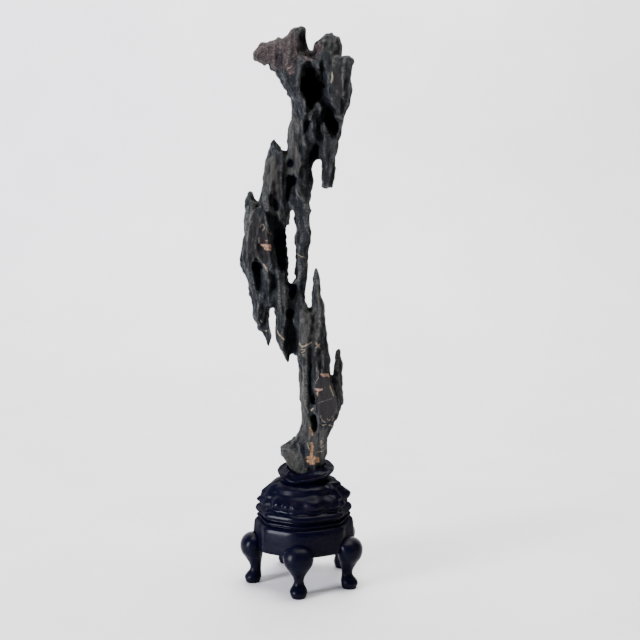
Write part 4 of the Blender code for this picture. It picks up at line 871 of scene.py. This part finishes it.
# The five legs. Each is a small cabriole leg, carved with a full knee, a thin ankle and a hoof that turns out
# at the toe. Its knee is let into the apron's lower edge.

LEG_SIDES = 40
LEG_STEP = 0.6
LEG_AZIMUTHS = {"leg_front": -5, "leg_right": 61, "leg_back_right": 131, "leg_back_left": -158,
                "leg_left": -81}
# Height, inner and outer radius, and half width.
LEG_PROFILE = [
    (0.2, 47.6, 52.0, 2.2),
    (0.2, 45.8, 54.2, 3.9),
    (1.2, 44.4, 55.6, 5.4),
    (3.6, 43.2, 57.3, 7.0),
    (7.0, 42.2, 58.3, 8.2),
    (9.2, 42.0, 57.7, 8.2),
    (11.6, 42.1, 55.9, 7.0),
    (14.2, 42.3, 53.7, 5.4),
    (17.2, 42.2, 52.9, 4.7),
    (21.0, 42.0, 53.8, 5.5),
    (27.0, 41.2, 57.3, 8.6),
    (32.5, 40.2, 61.0, 12.3),
    (38.0, 39.5, 62.4, 14.2),
    (43.0, 39.5, 61.8, 14.3),
    (47.3, 40.0, 59.5, 12.5),
    (50.2, 43.0, 56.0, 8.1),
    (51.5, 47.0, 52.6, 3.4),
]
# Each leg is cut back to the apron, which the first eight rows of the stand's profile give, with a fine gap.
APRON_PROFILE = STAND_PROFILE[:8]
APRON_STEP = 2.0
APRON_UNDERSIDE = 40
LEG_GAP = 0.3
room_rings = [stand_ring(row, azimuth[::2], grow=LEG_GAP) for row in spline(APRON_PROFILE, APRON_STEP)]
for ring in room_rings:
    ring[:, 2] -= LEG_GAP * (ring[:, 2] < APRON_UNDERSIDE)

for name, degrees in LEG_AZIMUTHS.items():
    turn = math.radians(degrees)
    out = np.array([math.sin(turn), -math.cos(turn), 0])
    side = np.array([math.cos(turn), math.sin(turn), 0])
    rings = []
    for height, inner, outer, half_width in spline(LEG_PROFILE, LEG_STEP):
        around = 2 * math.pi * np.arange(LEG_SIDES) / LEG_SIDES
        middle = out * (inner + outer) / 2 + np.array([STAND_X, 0, height])
        outwards = np.outer(np.cos(around) * (outer - inner) / 2, out)
        rings.append(middle + outwards + np.outer(np.sin(around) * half_width, side))
    leg = less(name + "_carved", skinned("leg", rings), skinned("room", room_rings))
    leg.data.materials.append(rosewood)
    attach(leg, "root")
    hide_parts(name)


# The table. It is a board with a pale, faintly lilac matt lacquer, which sweeps up behind into a pale wall.
# It is one smoothed sheet between two lines of points, in metres.

TABLE_HALF_WIDTH = 2.4
SWEEP = [(-1.6, 0.0), (0.6, 0.0), (0.9, 0.03), (1.15, 0.14), (1.3, 0.36), (1.35, 0.7), (1.35, 2.4)]
bm = bmesh.new()
rows = [[bm.verts.new((x, y, z)) for x in (-TABLE_HALF_WIDTH, TABLE_HALF_WIDTH)] for y, z in SWEEP]
for lower, upper in zip(rows, rows[1:]):
    bm.faces.new((lower[0], lower[1], upper[1], upper[0]))
bmesh.ops.recalc_face_normals(bm, faces=bm.faces)
table_mesh = bpy.data.meshes.new("table")
bm.to_mesh(table_mesh)
bm.free()
table_mesh.shade_smooth()
table = bpy.data.objects.new("table", table_mesh)
scene.collection.objects.link(table)
smooth_sweep = table.modifiers.new("Smooth", "SUBSURF")
smooth_sweep.levels = 3
smooth_sweep.render_levels = 3

# Matt lacquer: a soft, wide shine only, and a very slight unevenness 170 mm across (6 features a metre).
matt, tree, shader = new_material("matt_lacquer")
coordinates = add_node(tree, "TexCoord", output="Object")
mottle = add_node(tree, "TexNoise", {"Vector": coordinates, "Scale": 6, "Detail": 3, "Roughness": 0.55})
table_colour = add_node(tree, "ValToRGB", {"Fac": mottle}, stops=[(0.3, "#dcdbdf"), (0.7, "#e4e3e6")])
tree.links.new(table_colour, shader.inputs["Base Color"])
shader.inputs["Roughness"].default_value = 0.6
table_mesh.materials.append(matt)


# Light: a window to the left and in front, a weak fill from the right, a wash on the wall, and a pale room
# all round. Places and sizes are in metres, and powers in watts.

def area_light(name, place, target, wide, tall, power, code):
    """A rectangular soft light that faces a target."""
    data = bpy.data.lights.new(name, "AREA")
    data.shape = "RECTANGLE"
    data.size = wide
    data.size_y = tall
    data.energy = power
    data.color = colour(code)[:3]
    light = bpy.data.objects.new(name, data)
    light.location = place
    light.rotation_euler = (Vector(target) - Vector(place)).to_track_quat("-Z", "Y").to_euler()
    scene.collection.objects.link(light)


area_light("window", (-1.95, -1.25, 0.62), (0, 0, 0.25), 0.7, 1.25, 182, "#f3f4ff")
area_light("fill", (1.5, -0.5, 0.6), (0, 0, 0.25), 0.7, 0.7, 2.5, "#f4f8f2")
area_light("wall_wash", (0.2, 0.35, 2.1), (0, 1.2, 0.2), 1.6, 1.6, 115, "#fffdf8")
world = bpy.data.worlds.new("room")
scene.world = world
world.use_nodes = True
background = world.node_tree.nodes["Background"]
background.inputs["Color"].default_value = colour("#e9ecf4")
background.inputs["Strength"].default_value = 0.12
